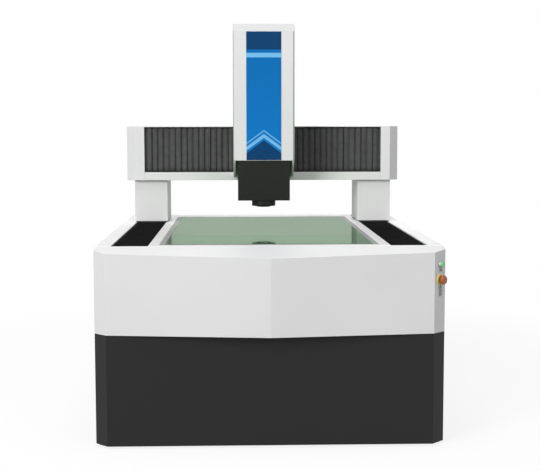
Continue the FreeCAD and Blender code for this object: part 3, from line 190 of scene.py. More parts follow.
class Tree:
    """The node tree of a material or of the world."""

    def __init__(self, owner: bpy.types.Material | bpy.types.World) -> None:
        """Empties the owner's tree and keeps its output."""
        owner.use_nodes = True
        self.nodes = owner.node_tree.nodes
        self.links = owner.node_tree.links
        self.nodes.clear()
        kind = "World" if isinstance(owner, bpy.types.World) else "Material"
        self.output = self.nodes.new(f"ShaderNodeOutput{kind}")

    def add(self, kind: str, settings: dict | None = None, inputs: dict | None = None) -> bpy.types.Node:
        """Adds a node.

        Args:
            kind: the node's type.
            settings: its properties, set first.
            inputs: values, sockets or Values by socket name, identifier or number.

        Returns:
            The node.
        """
        node = self.nodes.new(kind)
        for word, setting in (settings or {}).items():
            setattr(node, word, setting)
        for word, content in (inputs or {}).items():
            self.feed(self.find(node, word), content)
        return node

    @staticmethod
    def find(node: bpy.types.Node, word: str | int) -> Socket:
        """An input of a node by number, name or identifier."""
        if isinstance(word, int):
            return node.inputs[word]
        exact = [socket for socket in node.inputs if socket.identifier == word]
        return exact[0] if exact else node.inputs[word]

    def feed(self, socket: Socket, content: "Value | Socket | float | Sequence[float]") -> None:
        """Links a source to a socket, or sets the socket's own value."""
        if isinstance(content, Value):
            content = content.socket
        if isinstance(content, bpy.types.NodeSocket):
            self.links.new(content, socket)
        elif socket.type == "RGBA" and len(content) == 3:
            socket.default_value = (*content, 1.0)
        else:
            socket.default_value = content

    def places(self) -> Socket:
        """Object coordinates, which are the shared frame's own."""
        return self.add("ShaderNodeTexCoord").outputs["Object"]

    def split(self, vector: Socket) -> tuple[Value, Value, Value]:
        """The three numbers of a vector."""
        made = self.add("ShaderNodeSeparateXYZ", None, {0: vector})
        x, y, z = (Value(self, socket) for socket in made.outputs)
        return x, y, z

    def mapped(self, vector: Socket, scale: Point, centre: Point = (0.0, 0.0, 0.0)) -> Socket:
        """Coordinates moved and stretched by a Mapping node."""
        inputs = {"Vector": vector, "Location": centre, "Scale": scale}
        return self.add("ShaderNodeMapping", {"vector_type": "POINT"}, inputs).outputs[0]

    def noise(self, scale: float, detail: float = 3.0, vector: Socket | None = None) -> Value:
        """A noise pattern over the object's own coordinates, or over others."""
        inputs = {"Vector": vector or self.places(), "Scale": scale, "Detail": detail}
        return Value(self, self.add("ShaderNodeTexNoise", None, inputs).outputs["Fac"])

    def cells(self, scale: float) -> Value:
        """The distance from the nearest grain of a cell pattern over the object's own coordinates."""
        inputs = {"Vector": self.places(), "Scale": scale}
        return Value(self, self.add("ShaderNodeTexVoronoi", {"feature": "F1"}, inputs).outputs["Distance"])

    def mix(self, factor: Value, low: Colour | Socket, high: Colour | Socket) -> Socket:
        """One colour turning into another with a factor."""
        made = self.add(
            "ShaderNodeMix",
            {"data_type": "RGBA"},
            {"Factor_Float": factor, "A_Color": low, "B_Color": high},
        )
        return next(socket for socket in made.outputs if socket.identifier == "Result_Color")

    def bump(self, height: Value, depth: float, strength: float = 1.0) -> Socket:
        """A normal from a height, whose full range is a depth in metres."""
        made = self.add("ShaderNodeBump", None, {"Strength": strength, "Distance": depth, "Height": height})
        return made.outputs[0]

    def surface(self, inputs: dict) -> None:
        """Puts a Principled shader on the output, with its sockets' values and links."""
        self.end(self.add("ShaderNodeBsdfPrincipled", None, inputs))

    def blend(self, factor: Value, low: bpy.types.Node, high: bpy.types.Node) -> bpy.types.Node:
        """One shader turning into another with a factor."""
        return self.add("ShaderNodeMixShader", None, {0: factor, 1: low.outputs[0], 2: high.outputs[0]})

    def end(self, shader: bpy.types.Node) -> None:
        """Links a shader to the output."""
        self.links.new(shader.outputs[0], self.output.inputs["Surface"])


# ---------------------------------------------------------------- finishes


@dataclass(frozen=True)
class Finish:
    """What every finish has: a name, and one material that is made once."""

    name: str

    def dress(self, tree: Tree) -> None:
        """Builds the finish in a material's tree."""
        raise NotImplementedError

    def material(self) -> bpy.types.Material:
        """The finish as a material."""
        found = bpy.data.materials.get(self.name)
        if found is None:
            found = bpy.data.materials.new(self.name)
            self.dress(Tree(found))
        return found


@dataclass(frozen=True)
class PowderCoat(Finish):
    """Baked powder paint on sheet: a fine orange peel and a faint unevenness of gloss."""

    colour: Colour
    roughness: float = 0.42
    peel: float = PEEL
    peel_depth: float = PEEL_DEPTH
    shade: float = 0.97
    gloss: float = 0.5

    def dress(self, tree: Tree) -> None:
        """Paint with peel, cloudy gloss and a slight change of tone."""
        cloud = tree.noise(2.4, 4.0)
        handled = tree.noise(14.0, 5.0).ramp(0.52, 0.78)
        fine = tree.noise(self.peel, 2.0)
        darker = tuple(part * self.shade for part in self.colour)
        tree.surface({
            "Base Color": tree.mix(cloud.ramp(0.35, 0.7), self.colour, darker),
            "Roughness": self.roughness - 0.05 + cloud * 0.08 + handled * 0.05,
            "Specular IOR Level": self.gloss,
            "Normal": tree.bump(fine, self.peel_depth, 0.5),
        })


@dataclass(frozen=True)
class PaintedLightBandCoat(Finish):
    """A front cover's coat that has another tone above a level.

    On the deck's strip the paler tone is a painted highlight where the lip catches the light. On the Z column the
    darker band over the panel is painted shade."""

    colour: Colour
    painted_light_colour: Colour
    level: float
    roughness: float = 0.42
    strip_roughness: float = 0.6
    strip_peel: float = 0.1
    shade: float = 0.97
    gloss: float = 0.5

    def dress(self, tree: Tree) -> None:
        """Orange peel below the level, and above it a flatter skin whose other tone is painted light: a highlight on
        the deck's strip, shade on the Z column.
        """
        _, _, z = tree.split(tree.places())
        strip = z.above(self.level)
        cloud = tree.noise(2.4, 4.0)
        fine = tree.noise(PEEL, 2.0)
        faded = tree.mix(cloud.ramp(0.35, 0.7), self.colour, tuple(part * self.shade for part in self.colour))
        strip_and_crest_value = self.strip_roughness + tree.noise(6.0, 4.0) * 0.03
        tree.surface({
            # the other tone above the level is painted light: a highlight on the deck's strip and shade on the Z
            # column's band
            "Base Color": tree.mix(strip, faded, self.painted_light_colour),
            "Roughness": (self.roughness + cloud * 0.06) * (1 - strip) + strip_and_crest_value * strip,
            "Specular IOR Level": self.gloss,
            "Normal": tree.bump(fine * (1 - strip * (1 - self.strip_peel)), PEEL_DEPTH, 0.5),
        })


@dataclass(frozen=True)
class Granite(Finish):
    """Lapped dark granite: black ground with grey and pale grains."""

    ground: Colour = (0.028, 0.031, 0.031)
    grain: Colour = (0.11, 0.115, 0.115)
    fleck: Colour = (0.30, 0.30, 0.285)

    def dress(self, tree: Tree) -> None:
        """Grains of two sizes over the ground."""
        large = tree.cells(420.0).ramp(0.25, 0.5)
        small = tree.cells(900.0).ramp(0.1, 0.22)
        veil = tree.noise(260.0, 5.0).ramp(0.42, 0.6)
        body = tree.mix(large * veil, self.ground, self.grain)
        tree.surface({
            "Base Color": tree.mix((1 - small) * tree.noise(120.0).ramp(0.5, 0.62), body, self.fleck),
            "Roughness": 0.34 + veil * 0.16,
            "Normal": tree.bump(tree.noise(700.0, 2.0), 0.00003, 0.35),
        })


@dataclass(frozen=True)
class BrushedMetal(Finish):
    """Metal with fine lines along one direction."""

    colour: Colour
    along: Axis = Axis.X
    roughness: float = 0.32
    lines: float = 900.0
    metallic: float = 1.0
    dark: float = 0.86

    def dress(self, tree: Tree) -> None:
        """Lines drawn out along the direction, in tone, gloss and height."""
        scale = [1.0, 1.0, 1.0]
        scale[self.along.index] = 0.02
        vector = tree.mapped(tree.places(), tuple(scale))
        streak = tree.noise(self.lines, 3.0, vector)
        cloud = tree.noise(9.0, 3.0)
        tree.surface({
            "Base Color": tree.mix(streak.ramp(0.3, 0.7), self.colour, tuple(c * self.dark for c in self.colour)),
            "Metallic": self.metallic,
            "Roughness": self.roughness + streak * 0.10 + cloud * 0.06 - 0.06,
            "Normal": tree.bump(streak, 0.00002, 0.4),
        })


@dataclass(frozen=True)
class ThreadedSteel(Finish):
    """A ground ball screw: a groove that winds round an axis, once for each pitch."""

    along: Axis
    centre: Point
    pitch: float
    colour: Colour = (0.56, 0.57, 0.59)
    groove_shade: Colour = (0.23, 0.235, 0.24)
    depth: float = 1.2 * MM

    def dress(self, tree: Tree) -> None:
        """A groove between pale lands; the groove's darker colour is painted shade."""
        shift = tuple(-part for part in self.centre)
        parts = list(tree.split(tree.mapped(tree.places(), (1.0, 1.0, 1.0), shift)))
        run = parts.pop(self.along.index)
        turn = parts[1].maths("ARCTAN2", parts[0]) / (2 * math.pi)
        phase = (run / self.pitch + turn) % 1.0
        land = abs(phase - 0.5).ramp(0.10, 0.24)
        tree.surface({
            # the darker groove colour is painted shade in the thread's hollow
            "Base Color": tree.mix(land, self.groove_shade, self.colour),
            "Metallic": 1.0,
            "Roughness": 0.34 - land * 0.12,
            "Normal": tree.bump(land, self.depth, 1.0),
        })


@dataclass(frozen=True)
class CastIron(Finish):
    """Primed iron casting with a sandy skin."""

    colour: Colour = (0.15, 0.155, 0.16)

    def dress(self, tree: Tree) -> None:
        """Sand texture at two scales."""
        sand = tree.noise(520.0, 4.0)
        lump = tree.noise(60.0, 2.0)
        tree.surface({
            "Base Color": tree.mix(sand, self.colour, tuple(c * 1.25 for c in self.colour)),
            "Roughness": 0.55 + sand * 0.15,
            "Normal": tree.bump(sand * 0.7 + lump * 0.3, 0.0003, 0.6),
        })


@dataclass(frozen=True)
class FloatGlass(Finish):
    """Float glass with a green cast, whose veil is denser behind a limit in Y.

    A band just in front of the limit, out to a reach on both sides, is a little denser too. Both are painted
    reflection, standing in for how the light makes the glass look different at the front and at the rear."""

    limit: float = -0.236
    reach: float = 0.385
    tint: Colour = (0.36, 0.50, 0.36)
    roughness: float = 0.03
    refraction: float = 1.5
    body: Colour = (0.17, 0.28, 0.17)
    line_half: float = 0.03
    line_veil: float = 0.07
    front_veil: float = 0.15
    rear_veil: float = 0.21
    rear_rise: float = 0.02

    def dress(self, tree: Tree) -> None:
        """Glass under a veil of its green body, which lets lamp light through without caustics."""
        x, y, _ = tree.split(tree.places())
        # the denser rear veil and the denser band are painted reflection, not a change in the glass itself
        line = abs(y - self.limit + self.line_half).below(self.line_half) * abs(x).below(self.reach)
        rear = y.ramp(self.limit, self.limit + self.rear_rise)
        veil = rear * (self.rear_veil - self.front_veil) + self.front_veil + line * self.line_veil
        skin = {"Roughness": self.roughness, "IOR": self.refraction}
        clear = tree.add("ShaderNodeBsdfGlass", None, {"Color": self.tint, **skin})
        open_way = tree.add("ShaderNodeBsdfTransparent", None, {"Color": self.tint})
        dense = tree.add("ShaderNodeBsdfPrincipled", None, {"Base Color": self.body, **skin})
        shadow = Value(tree, tree.add("ShaderNodeLightPath").outputs["Is Shadow Ray"])
        tree.end(tree.blend(shadow, tree.blend(veil, clear, dense), open_way))


@dataclass(frozen=True)
class Opal(Finish):
    """Milky diffuser sheet over the stage light."""

    colour: Colour = (0.80, 0.86, 0.80)
    dots: Colour = (0.785, 0.845, 0.785)
    glow: float = 1.0

    def dress(self, tree: Tree) -> None:
        """A soft white with a print of fine dots."""
        printed = tree.cells(140.0).ramp(0.28, 0.34)
        tree.surface({
            "Base Color": tree.mix(printed, self.dots, self.colour),
            "Emission Color": self.colour,
            "Emission Strength": self.glow,
            "Roughness": 0.55,
            "Subsurface Weight": 0.2,
        })


@dataclass(frozen=True)
class Plastic(Finish):
    """Moulded plastic, glossy or grained."""

    colour: Colour
    roughness: float = 0.3
    grain: float = 900.0
    grain_depth: float = 0.00004
    glow: float = 0.0

    def dress(self, tree: Tree) -> None:
        """Plastic with a fine grain; a lit one glows in its own colour."""
        fine = tree.noise(self.grain, 2.0)
        soft = tree.noise(30.0, 3.0)
        deeper = tuple(part * 0.9 for part in self.colour)
        tree.surface({
            "Base Color": tree.mix(soft, self.colour, deeper),
            "Roughness": self.roughness - 0.03 + soft * 0.06,
            "Normal": tree.bump(fine, self.grain_depth, 0.4),
            "Emission Color": self.colour,
            "Emission Strength": self.glow,
        })


@dataclass(frozen=True)
class CoatedCloth(Finish):
    """Coated bellows cloth: a fine weave under the coat, paler towards its crests and darker towards the roots of its
    folds.

    The depth of the folds is read along one axis, from the root to the crest."""

    colour: Colour
    strip_and_crest_value: Colour
    depth_axis: Axis
    root: float
    crest: float
    roughness: float = 0.62
    gloss: float = 0.12

    def dress(self, tree: Tree) -> None:
        """Weave, creases, and a tone that grows paler from the roots to the crests."""
        parts = tree.split(tree.places())
        depth = parts[self.depth_axis.index]
        weave = (parts[0] * 5200.0).maths("SINE") * (parts[1] * 5200.0 + parts[2] * 5200.0).maths("SINE")
        # tone paler towards the crests and darker towards the roots of the folds, set from their depth
        crest_tone = depth.ramp(self.root, self.crest) * (0.55 + tree.noise(38.0, 5.0) * 0.9)
        dust = tree.noise(7.0, 4.0).ramp(0.4, 0.75)
        tree.surface({
            "Base Color": tree.mix((crest_tone * 0.85 + dust * 0.15).held(), self.colour, self.strip_and_crest_value),
            "Roughness": self.roughness + dust * 0.12,
            "Specular IOR Level": self.gloss,
            "Normal": tree.bump(weave * 0.5 + tree.noise(90.0, 4.0), 0.00035, 0.5),
        })


@dataclass(frozen=True)
class PrintedFilm(Finish):
    """The printed front panel: a plain blue field, darker ends and straight paler bands.

    The print runs over a height from low to high and a half width."""

    low: float
    high: float
    half: float
    field_blue: Colour = (0.004, 0.175, 0.52)
    dark_blue: Colour = (0.003, 0.047, 0.145)
    pale_blue: Colour = (0.17, 0.47, 0.79)
    slant: float = 0.10
    dark_foot: float = 0.155
    dark_head: float = 0.86
    top_band: tuple[float, float] = (0.80, 0.835)
    chevrons: tuple[tuple[float, float], ...] = ((0.175, 0.205), (0.225, 0.235))

    def dress(self, tree: Tree) -> None:
        """Bands by share of the height, with chevrons in the lower third."""
        x, _, z = tree.split(tree.places())
        rise = (z - self.low) / (self.high - self.low)
        slope = rise + abs(x) / self.half * self.slant
        dark = (slope.below(self.dark_foot) + rise.above(self.dark_head)).held()
        bands = rise.above(self.top_band[0]) * rise.below(self.top_band[1])
        for low, high in self.chevrons:
            bands = bands + slope.above(low) * slope.below(high)
        fade = (1 - rise).ramp(0.1, 0.95)
        deep = tree.mix(fade, tuple(part * 0.82 for part in self.field_blue), self.field_blue)
        tree.surface({
            "Base Color": tree.mix(dark, tree.mix(bands.held(), deep, self.pale_blue), self.dark_blue),
            "Roughness": 0.30 + tree.noise(40.0, 3.0) * 0.05,
            "Specular IOR Level": 0.10,
            "Normal": tree.bump(tree.noise(300.0, 2.0), 0.00003, 0.3),
        })


@dataclass(frozen=True)
class Lens(Finish):
    """Coated front element of the lens: dark, with a violet sheen at its rim."""

    def dress(self, tree: Tree) -> None:
        """Dark glass with a painted violet reflection of its coat towards the rim."""
        rim = Value(tree, tree.add("ShaderNodeLayerWeight", None, {"Blend": 0.35}).outputs["Facing"])
        tree.surface({
            # the violet towards the rim is a painted reflection of the lens coat
            "Base Color": tree.mix(rim, (0.006, 0.008, 0.012), (0.05, 0.02, 0.09)),
            "Roughness": 0.04 + tree.noise(60.0) * 0.02,
            "Coat Weight": 1.0,
        })


class Kit:
    """The finishes of this machine, by the record's material slots."""

    def __init__(self) -> None:
        """Builds every finish from the frame's own places."""
        panel_low, panel_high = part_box("front_panel")
        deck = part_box("deck_trim")[1].z
        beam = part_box("beam_bellows_left")
        self.by_slot: dict[str, Finish] = {
            "white_paint": PowderCoat("satin white coat", WHITE, gloss=0.35),
            "black_paint": PowderCoat("satin black coat", (0.0145, 0.0145, 0.015), 0.5, gloss=0.2),
            "frame_paint": PowderCoat("grey frame coat", (0.26, 0.27, 0.28), 0.5),
            "cabinet_paint": PowderCoat("cabinet coat", (0.56, 0.56, 0.53), 0.48),
            "granite": Granite("lapped granite"),
            "glass": FloatGlass("float glass"),
            "diffuser": Opal("opal diffuser"),
            "aluminium": BrushedMetal("satin aluminium", (0.62, 0.63, 0.64), Axis.X, 0.36),
            "black_anodised": PowderCoat(
                "black anodised skin", (0.012, 0.013, 0.0115), 0.42, 900.0, 0.02 * MM, gloss=0.2),
            "cast_iron": CastIron("primed casting"),
            "ground_steel": BrushedMetal("ground steel", (0.55, 0.56, 0.58), Axis.Y, 0.24),
            "zinc_steel": BrushedMetal("zinc plate", (0.60, 0.60, 0.57), Axis.Z, 0.38),
            "black_bellows": CoatedCloth(
                "black bellows cloth", (0.004, 0.004, 0.0042), (0.008, 0.008, 0.0085),
                Axis.Z, deck - 14 * MM, deck, 0.8, 0.02),
            "grey_bellows": CoatedCloth(
                "grey bellows cloth", (0.024, 0.024, 0.025), (0.082, 0.082, 0.083),
                Axis.Y, beam[1].y, beam[0].y),
            "blue_panel": PrintedFilm("blue panel print", panel_low.z, panel_high.z, panel_high.x),
            "motor_black": PowderCoat("motor coat", (0.012, 0.012, 0.014), 0.4),
            "green_plastic": Plastic("lit green lens", (0.14, 0.40, 0.17), 0.2, glow=0.35),
            "red_plastic": Plastic("stop red", (0.36, 0.095, 0.016), 0.35),
            "yellow_plastic": Plastic("signal yellow", (0.74, 0.50, 0.06), 0.35),
            "black_plastic": Plastic("black moulding", (0.018, 0.018, 0.02), 0.42),
            "grey_plastic": Plastic("grey moulding", (0.11, 0.115, 0.12), 0.45),
            "bright_metal": BrushedMetal("bright ring metal", (0.66, 0.66, 0.66), Axis.Z, 0.2, 300.0),
        }
        self.own: dict[str, Finish] = {
            # both strip tones are painted: a highlight on the deck's lip, shade on the Z column's top band
            "upper_front_cover": PaintedLightBandCoat("front coat with painted highlight strip", WHITE, (0.97, 0.975, 0.97), deck - 0.8 * MM),
            "z_front_cover": PaintedLightBandCoat("column front coat with painted shade band", WHITE, (0.57, 0.575, 0.57), panel_high.z + 1 * MM),
            # the caps are a touch lighter than the white coat: painted light on the beam's ends
            "beam_end_caps": PowderCoat("beam cap coat", (0.71, 0.715, 0.71), gloss=0.35),
            "start_bezel_ring": BrushedMetal("satin ring metal", (0.42, 0.42, 0.43), Axis.Z, 0.5, 300.0),
            "glass_frame": PowderCoat("stage frame coat", (0.29, 0.30, 0.29), 0.5, gloss=0.08),
            "rocker_frame": Plastic("rocker frame moulding", (0.42, 0.42, 0.43), 0.45),
            "rocker_key": Plastic("rocker key moulding", (0.25, 0.25, 0.26), 0.4),
            "x_screw": ThreadedSteel("x screw thread", Axis.X, self.centre("x_screw"), 10 * MM),
            "y_screw": ThreadedSteel("y screw thread", Axis.Y, self.centre("y_screw"), 12.5 * MM),
            "z_screw": ThreadedSteel("z screw thread", Axis.Z, self.centre("z_screw"), 5 * MM),
        }
        self.lamp_shell = Plastic("lamp shell", (0.30, 0.30, 0.30), 0.45)
        # a grey strip that paints the shade along the Z column's front edges
        self.seam = Plastic("painted edge shade strip", (0.33, 0.33, 0.335), 0.5)
        self.lens = Lens("coated lens")
        self.led = Plastic("led dome", (0.75, 0.76, 0.70), 0.15)
        self.mark = Plastic("white mark", (0.75, 0.75, 0.73), 0.5)
        self.screw = BrushedMetal("screw steel", (0.40, 0.40, 0.41), Axis.Z, 0.3, 1500.0)

    def of(self, slot: str) -> Finish:
        """The finish of a slot."""
        return self.by_slot[slot]

    @staticmethod
    def centre(node: str) -> Point:
        """The middle of a CAD node."""
        low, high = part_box(node)
        return tuple((low + high) / 2)


# ---------------------------------------------------------------- meshes


def turned_to(direction: Sequence[float], at: Sequence[float], up: Sequence[float] = (0.0, 0.0, 1.0)) -> Matrix:
    """The place of a shape drawn round its own Z axis.

    Args:
        direction: where its Z axis is to look.
        at: where its origin goes.
        up: roughly where its Y axis is to look.

    Returns:
        The matrix of that place.
    """
    z = Vector(direction).normalized()
    side = Vector(up).cross(z)
    x = side.normalized() if side.length > 1e-6 else Vector((1.0, 0.0, 0.0))
    y = z.cross(x)
    turn = Matrix((x, y, z)).transposed().to_4x4()
    return Matrix.Translation(Vector(at)) @ turn


class Form:
    """A mesh in the making, which becomes one named piece."""

    def __init__(self) -> None:
        """Starts an empty mesh."""
        self.bm = bmesh.new()

    def shift(self, made: Iterable[bmesh.types.BMVert], matrix: Matrix) -> None:
        """Moves some points by a matrix."""
        bmesh.ops.transform(self.bm, matrix=matrix, verts=list(made))

    def block(self, low: Sequence[float], high: Sequence[float], edge: float = 0.0,
              matrix: Matrix | None = None) -> "Form":
        """A box between two corners.

        Args:
            low: its lowest corner.
            high: its highest corner.
            edge: how wide its edges are bevelled.
            matrix: a place for it, where that isn't the frame's own.

        Returns:
            This form.
        """
        low, high = Vector(low), Vector(high)
        made = bmesh.ops.create_cube(self.bm, size=1.0)["verts"]
        bmesh.ops.scale(self.bm, vec=high - low, verts=made)
        bmesh.ops.translate(self.bm, vec=(low + high) / 2, verts=made)
        if matrix:
            self.shift(made, matrix)
        if edge:
            self.soften({line for vert in made for line in vert.link_edges}, edge)
        return self

    def soften(self, lines: Iterable[bmesh.types.BMEdge], width: float) -> None:
        """Bevels some edges."""
        bmesh.ops.bevel(
            self.bm, geom=list(lines), offset=width, affect="EDGES", segments=EDGE_STEPS, profile=0.5,
            material=-1, clamp_overlap=True)

    def lathe(self, profile: Sequence[tuple[float, float]], matrix: Matrix, steps: int = 48) -> "Form":
        """A round shape.

        Args:
            profile: its half section as radius and height, from the bottom of the axis to the top.
            matrix: where its axis stands.
            steps: how many sides it has.

        Returns:
            This form.
        """
        verts = [self.bm.verts.new((radius, 0.0, height)) for radius, height in profile]
        edges = [self.bm.edges.new(pair) for pair in zip(verts, verts[1:])]
        bmesh.ops.spin(
            self.bm, geom=verts + edges, cent=(0, 0, 0), axis=(0, 0, 1), angle=2 * math.pi,
            steps=steps, use_merge=True, use_duplicate=False)
        made = self.island(verts)
        bmesh.ops.remove_doubles(self.bm, verts=made, dist=1e-7)
        made = [vert for vert in made if vert.is_valid]
        faces = list({face for vert in made for face in vert.link_faces})
        bmesh.ops.recalc_face_normals(self.bm, faces=faces)
        self.shift(made, matrix)
        return self

    @staticmethod
    def island(seeds: Iterable[bmesh.types.BMVert]) -> list[bmesh.types.BMVert]:
        """All points that hang together with some points."""
        found = set(seeds)
        front = list(found)
        while front:
            vert = front.pop()
            for line in vert.link_edges:
                other = line.other_vert(vert)
                if other not in found:
                    found.add(other)
                    front.append(other)
        return list(found)

    def rod(self, radius: float, low: float, high: float, matrix: Matrix, sides: int = 24,
            edge: float = 0.0) -> "Form":
        """A cylinder or prism along the Z axis of a place, from low to high."""
        made = bmesh.ops.create_cone(
            self.bm, cap_ends=True, cap_tris=False, segments=sides, radius1=radius, radius2=radius,
            depth=high - low)["verts"]
        if edge:
            rims = {line for vert in made for line in vert.link_edges
                    if abs(line.verts[0].co.z - line.verts[1].co.z) < 1e-9}
            before = set(self.bm.verts) - set(made)
            self.soften(rims, edge)
            made = [vert for vert in self.bm.verts if vert not in before]
        bmesh.ops.translate(self.bm, vec=(0, 0, (low + high) / 2), verts=made)
        self.shift(made, matrix)
        return self

    def piece(self, name: str, finish: Finish, body: str, slot: str | None = None,
              replaces: Sequence[str] = ()) -> bpy.types.Object:
        """Ends the mesh as a piece that rides on a body.

        Args:
            name: the piece's name.
            finish: its finish.
            body: the CAD body that it rides on.
            slot: the record's material slot, where it has one; not used.
            replaces: the CAD nodes that it stands for.

        Returns:
            The object.
        """
        made = self.unbound(name, finish, slot, replaces)
        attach(made, body)
        return made

    def unbound(self, name: str, finish: Finish, slot: str | None = None,
                replaces: Sequence[str] = ()) -> bpy.types.Object:
        """Ends the mesh as a piece without a body."""
        mesh = bpy.data.meshes.new(name)
        for face in self.bm.faces:
            face.smooth = True
        for line in self.bm.edges:
            if line.is_manifold and line.calc_face_angle(0.0) > math.radians(SMOOTH):
                line.smooth = False
        self.bm.to_mesh(mesh)
        self.bm.free()
        made = bpy.data.objects.new(name, mesh)
        bpy.context.scene.collection.objects.link(made)
        mesh.materials.append(finish.material())
        if replaces:
            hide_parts(*replaces)
        log.info("%s: %d faces", name, len(mesh.polygons))
        return made


@dataclass
class Screws:
    """Button-head screws with hexagon sockets, gathered in one piece."""

    radius: float = 4.2 * MM
    height: float = 2.2 * MM
    socket: float = 1.7 * MM
    sides: int = 16
    form: Form = field(default_factory=Form)

    def drive(self, at: Sequence[float], direction: Sequence[float]) -> None:
        """Adds one screw whose head stands on a point and looks in a direction."""
        place = turned_to(direction, at, (0.13, 0.21, 1.0))
        r, h = self.radius, self.height
        self.form.lathe([
            (r, 0.0), (r, h * 0.3), (r * 0.82, h * 0.78), (r * 0.55, h),
            (self.socket, h), (self.socket, h * 0.35), (0.0, h * 0.3),
        ], place, self.sides)

    def finish(self, name: str, kit: Kit, body: str) -> None:
        """Ends the screws as one piece."""
        self.form.piece(name, kit.screw, body, "zinc_steel")


def row(start: float, end: float, count: int) -> list[float]:
    """Evenly spread places from start to end."""
    return [start + (end - start) * n / (count - 1) for n in range(count)]


def ends(low: float, high: float, inset: float) -> tuple[float, float]:
    """The two places at an inset from both ends."""
    return low + inset, high - inset


def thicken(cover: bpy.types.Object, skin: float, offset: float) -> None:
    """Gives cloth its thickness, downwards at an offset of -1 and to both sides at 0."""
    solid = cover.modifiers.new("cloth", "SOLIDIFY")
    solid.thickness = skin
    solid.offset = offset


# ---------------------------------------------------------------- sub-assemblies


@dataclass
class Sheetwork:
    """What all CAD nodes get: their finish, and softened edges where a sheet or casting has them."""

    kit: Kit
    frame: dict
    edge: dict[str, float] = field(default_factory=lambda: {
        "white_paint": 1.3 * MM,
        "black_paint": 1.3 * MM,
        "frame_paint": 3.0 * MM,
        "cabinet_paint": 1.0 * MM,
        "granite": 2.0 * MM,
        "cast_iron": 2.5 * MM,
        "aluminium": 0.8 * MM,
        "black_anodised": 0.8 * MM,
        "motor_black": 1.0 * MM,
        "blue_panel": 0.7 * MM,
        "grey_plastic": 0.6 * MM,
        "black_plastic": 0.5 * MM,
        "ground_steel": 0.4 * MM,
        "zinc_steel": 0.4 * MM,
        "yellow_plastic": 0.6 * MM,
    })
    weld: float = 0.01 * MM
    sharp: float = 28.0
    level: float = 0.5

    def dress(self) -> None:
        """Gives every CAD node its finish and its edge."""
        slots = {part["node"]: part["material_slot"] for part in self.frame["record"]["subparts"]}
        for name, node in self.frame["nodes"].items():
            slot = slots[name]
            material = self.kit.own.get(name, self.kit.of(slot)).material()
            for place in node.material_slots:
                place.material = material
            if slot in self.edge:
                self.round_off(node, self.edge[slot])
        log.info("%d nodes dressed", len(slots))

    def round_off(self, node: bpy.types.Object, width: float) -> None:
        """Merges a node's triangles into flat faces and bevels its edges, as modifiers."""
        weld = node.modifiers.new("weld", "WELD")
        weld.merge_threshold = self.weld
        flat = node.modifiers.new("flat", "DECIMATE")
        flat.decimate_type = "DISSOLVE"
        flat.angle_limit = math.radians(self.level)
        bevel = node.modifiers.new("edge", "BEVEL")
        bevel.width = width
        bevel.segments = EDGE_STEPS
        bevel.limit_method = "ANGLE"
        bevel.angle_limit = math.radians(self.sharp)
        bevel.harden_normals = True
        bevel.use_clamp_overlap = True


@dataclass(frozen=True)
class Lamp:
    """A square area lamp: its place, its side in metres and its power in watts."""

    name: str
    at: Point
    size: float
    power: float

    def hang(self, target: Point) -> None:
        """Adds the lamp to the scene, turned to a point."""
        data = bpy.data.lights.new(self.name, "AREA")
        data.size = self.size
        data.energy = self.power
        lamp = bpy.data.objects.new(self.name, data)
        lamp.location = self.at
        aim = Vector(target) - Vector(self.at)
        lamp.rotation_euler = aim.to_track_quat("-Z", "Y").to_euler()
        bpy.context.scene.collection.objects.link(lamp)


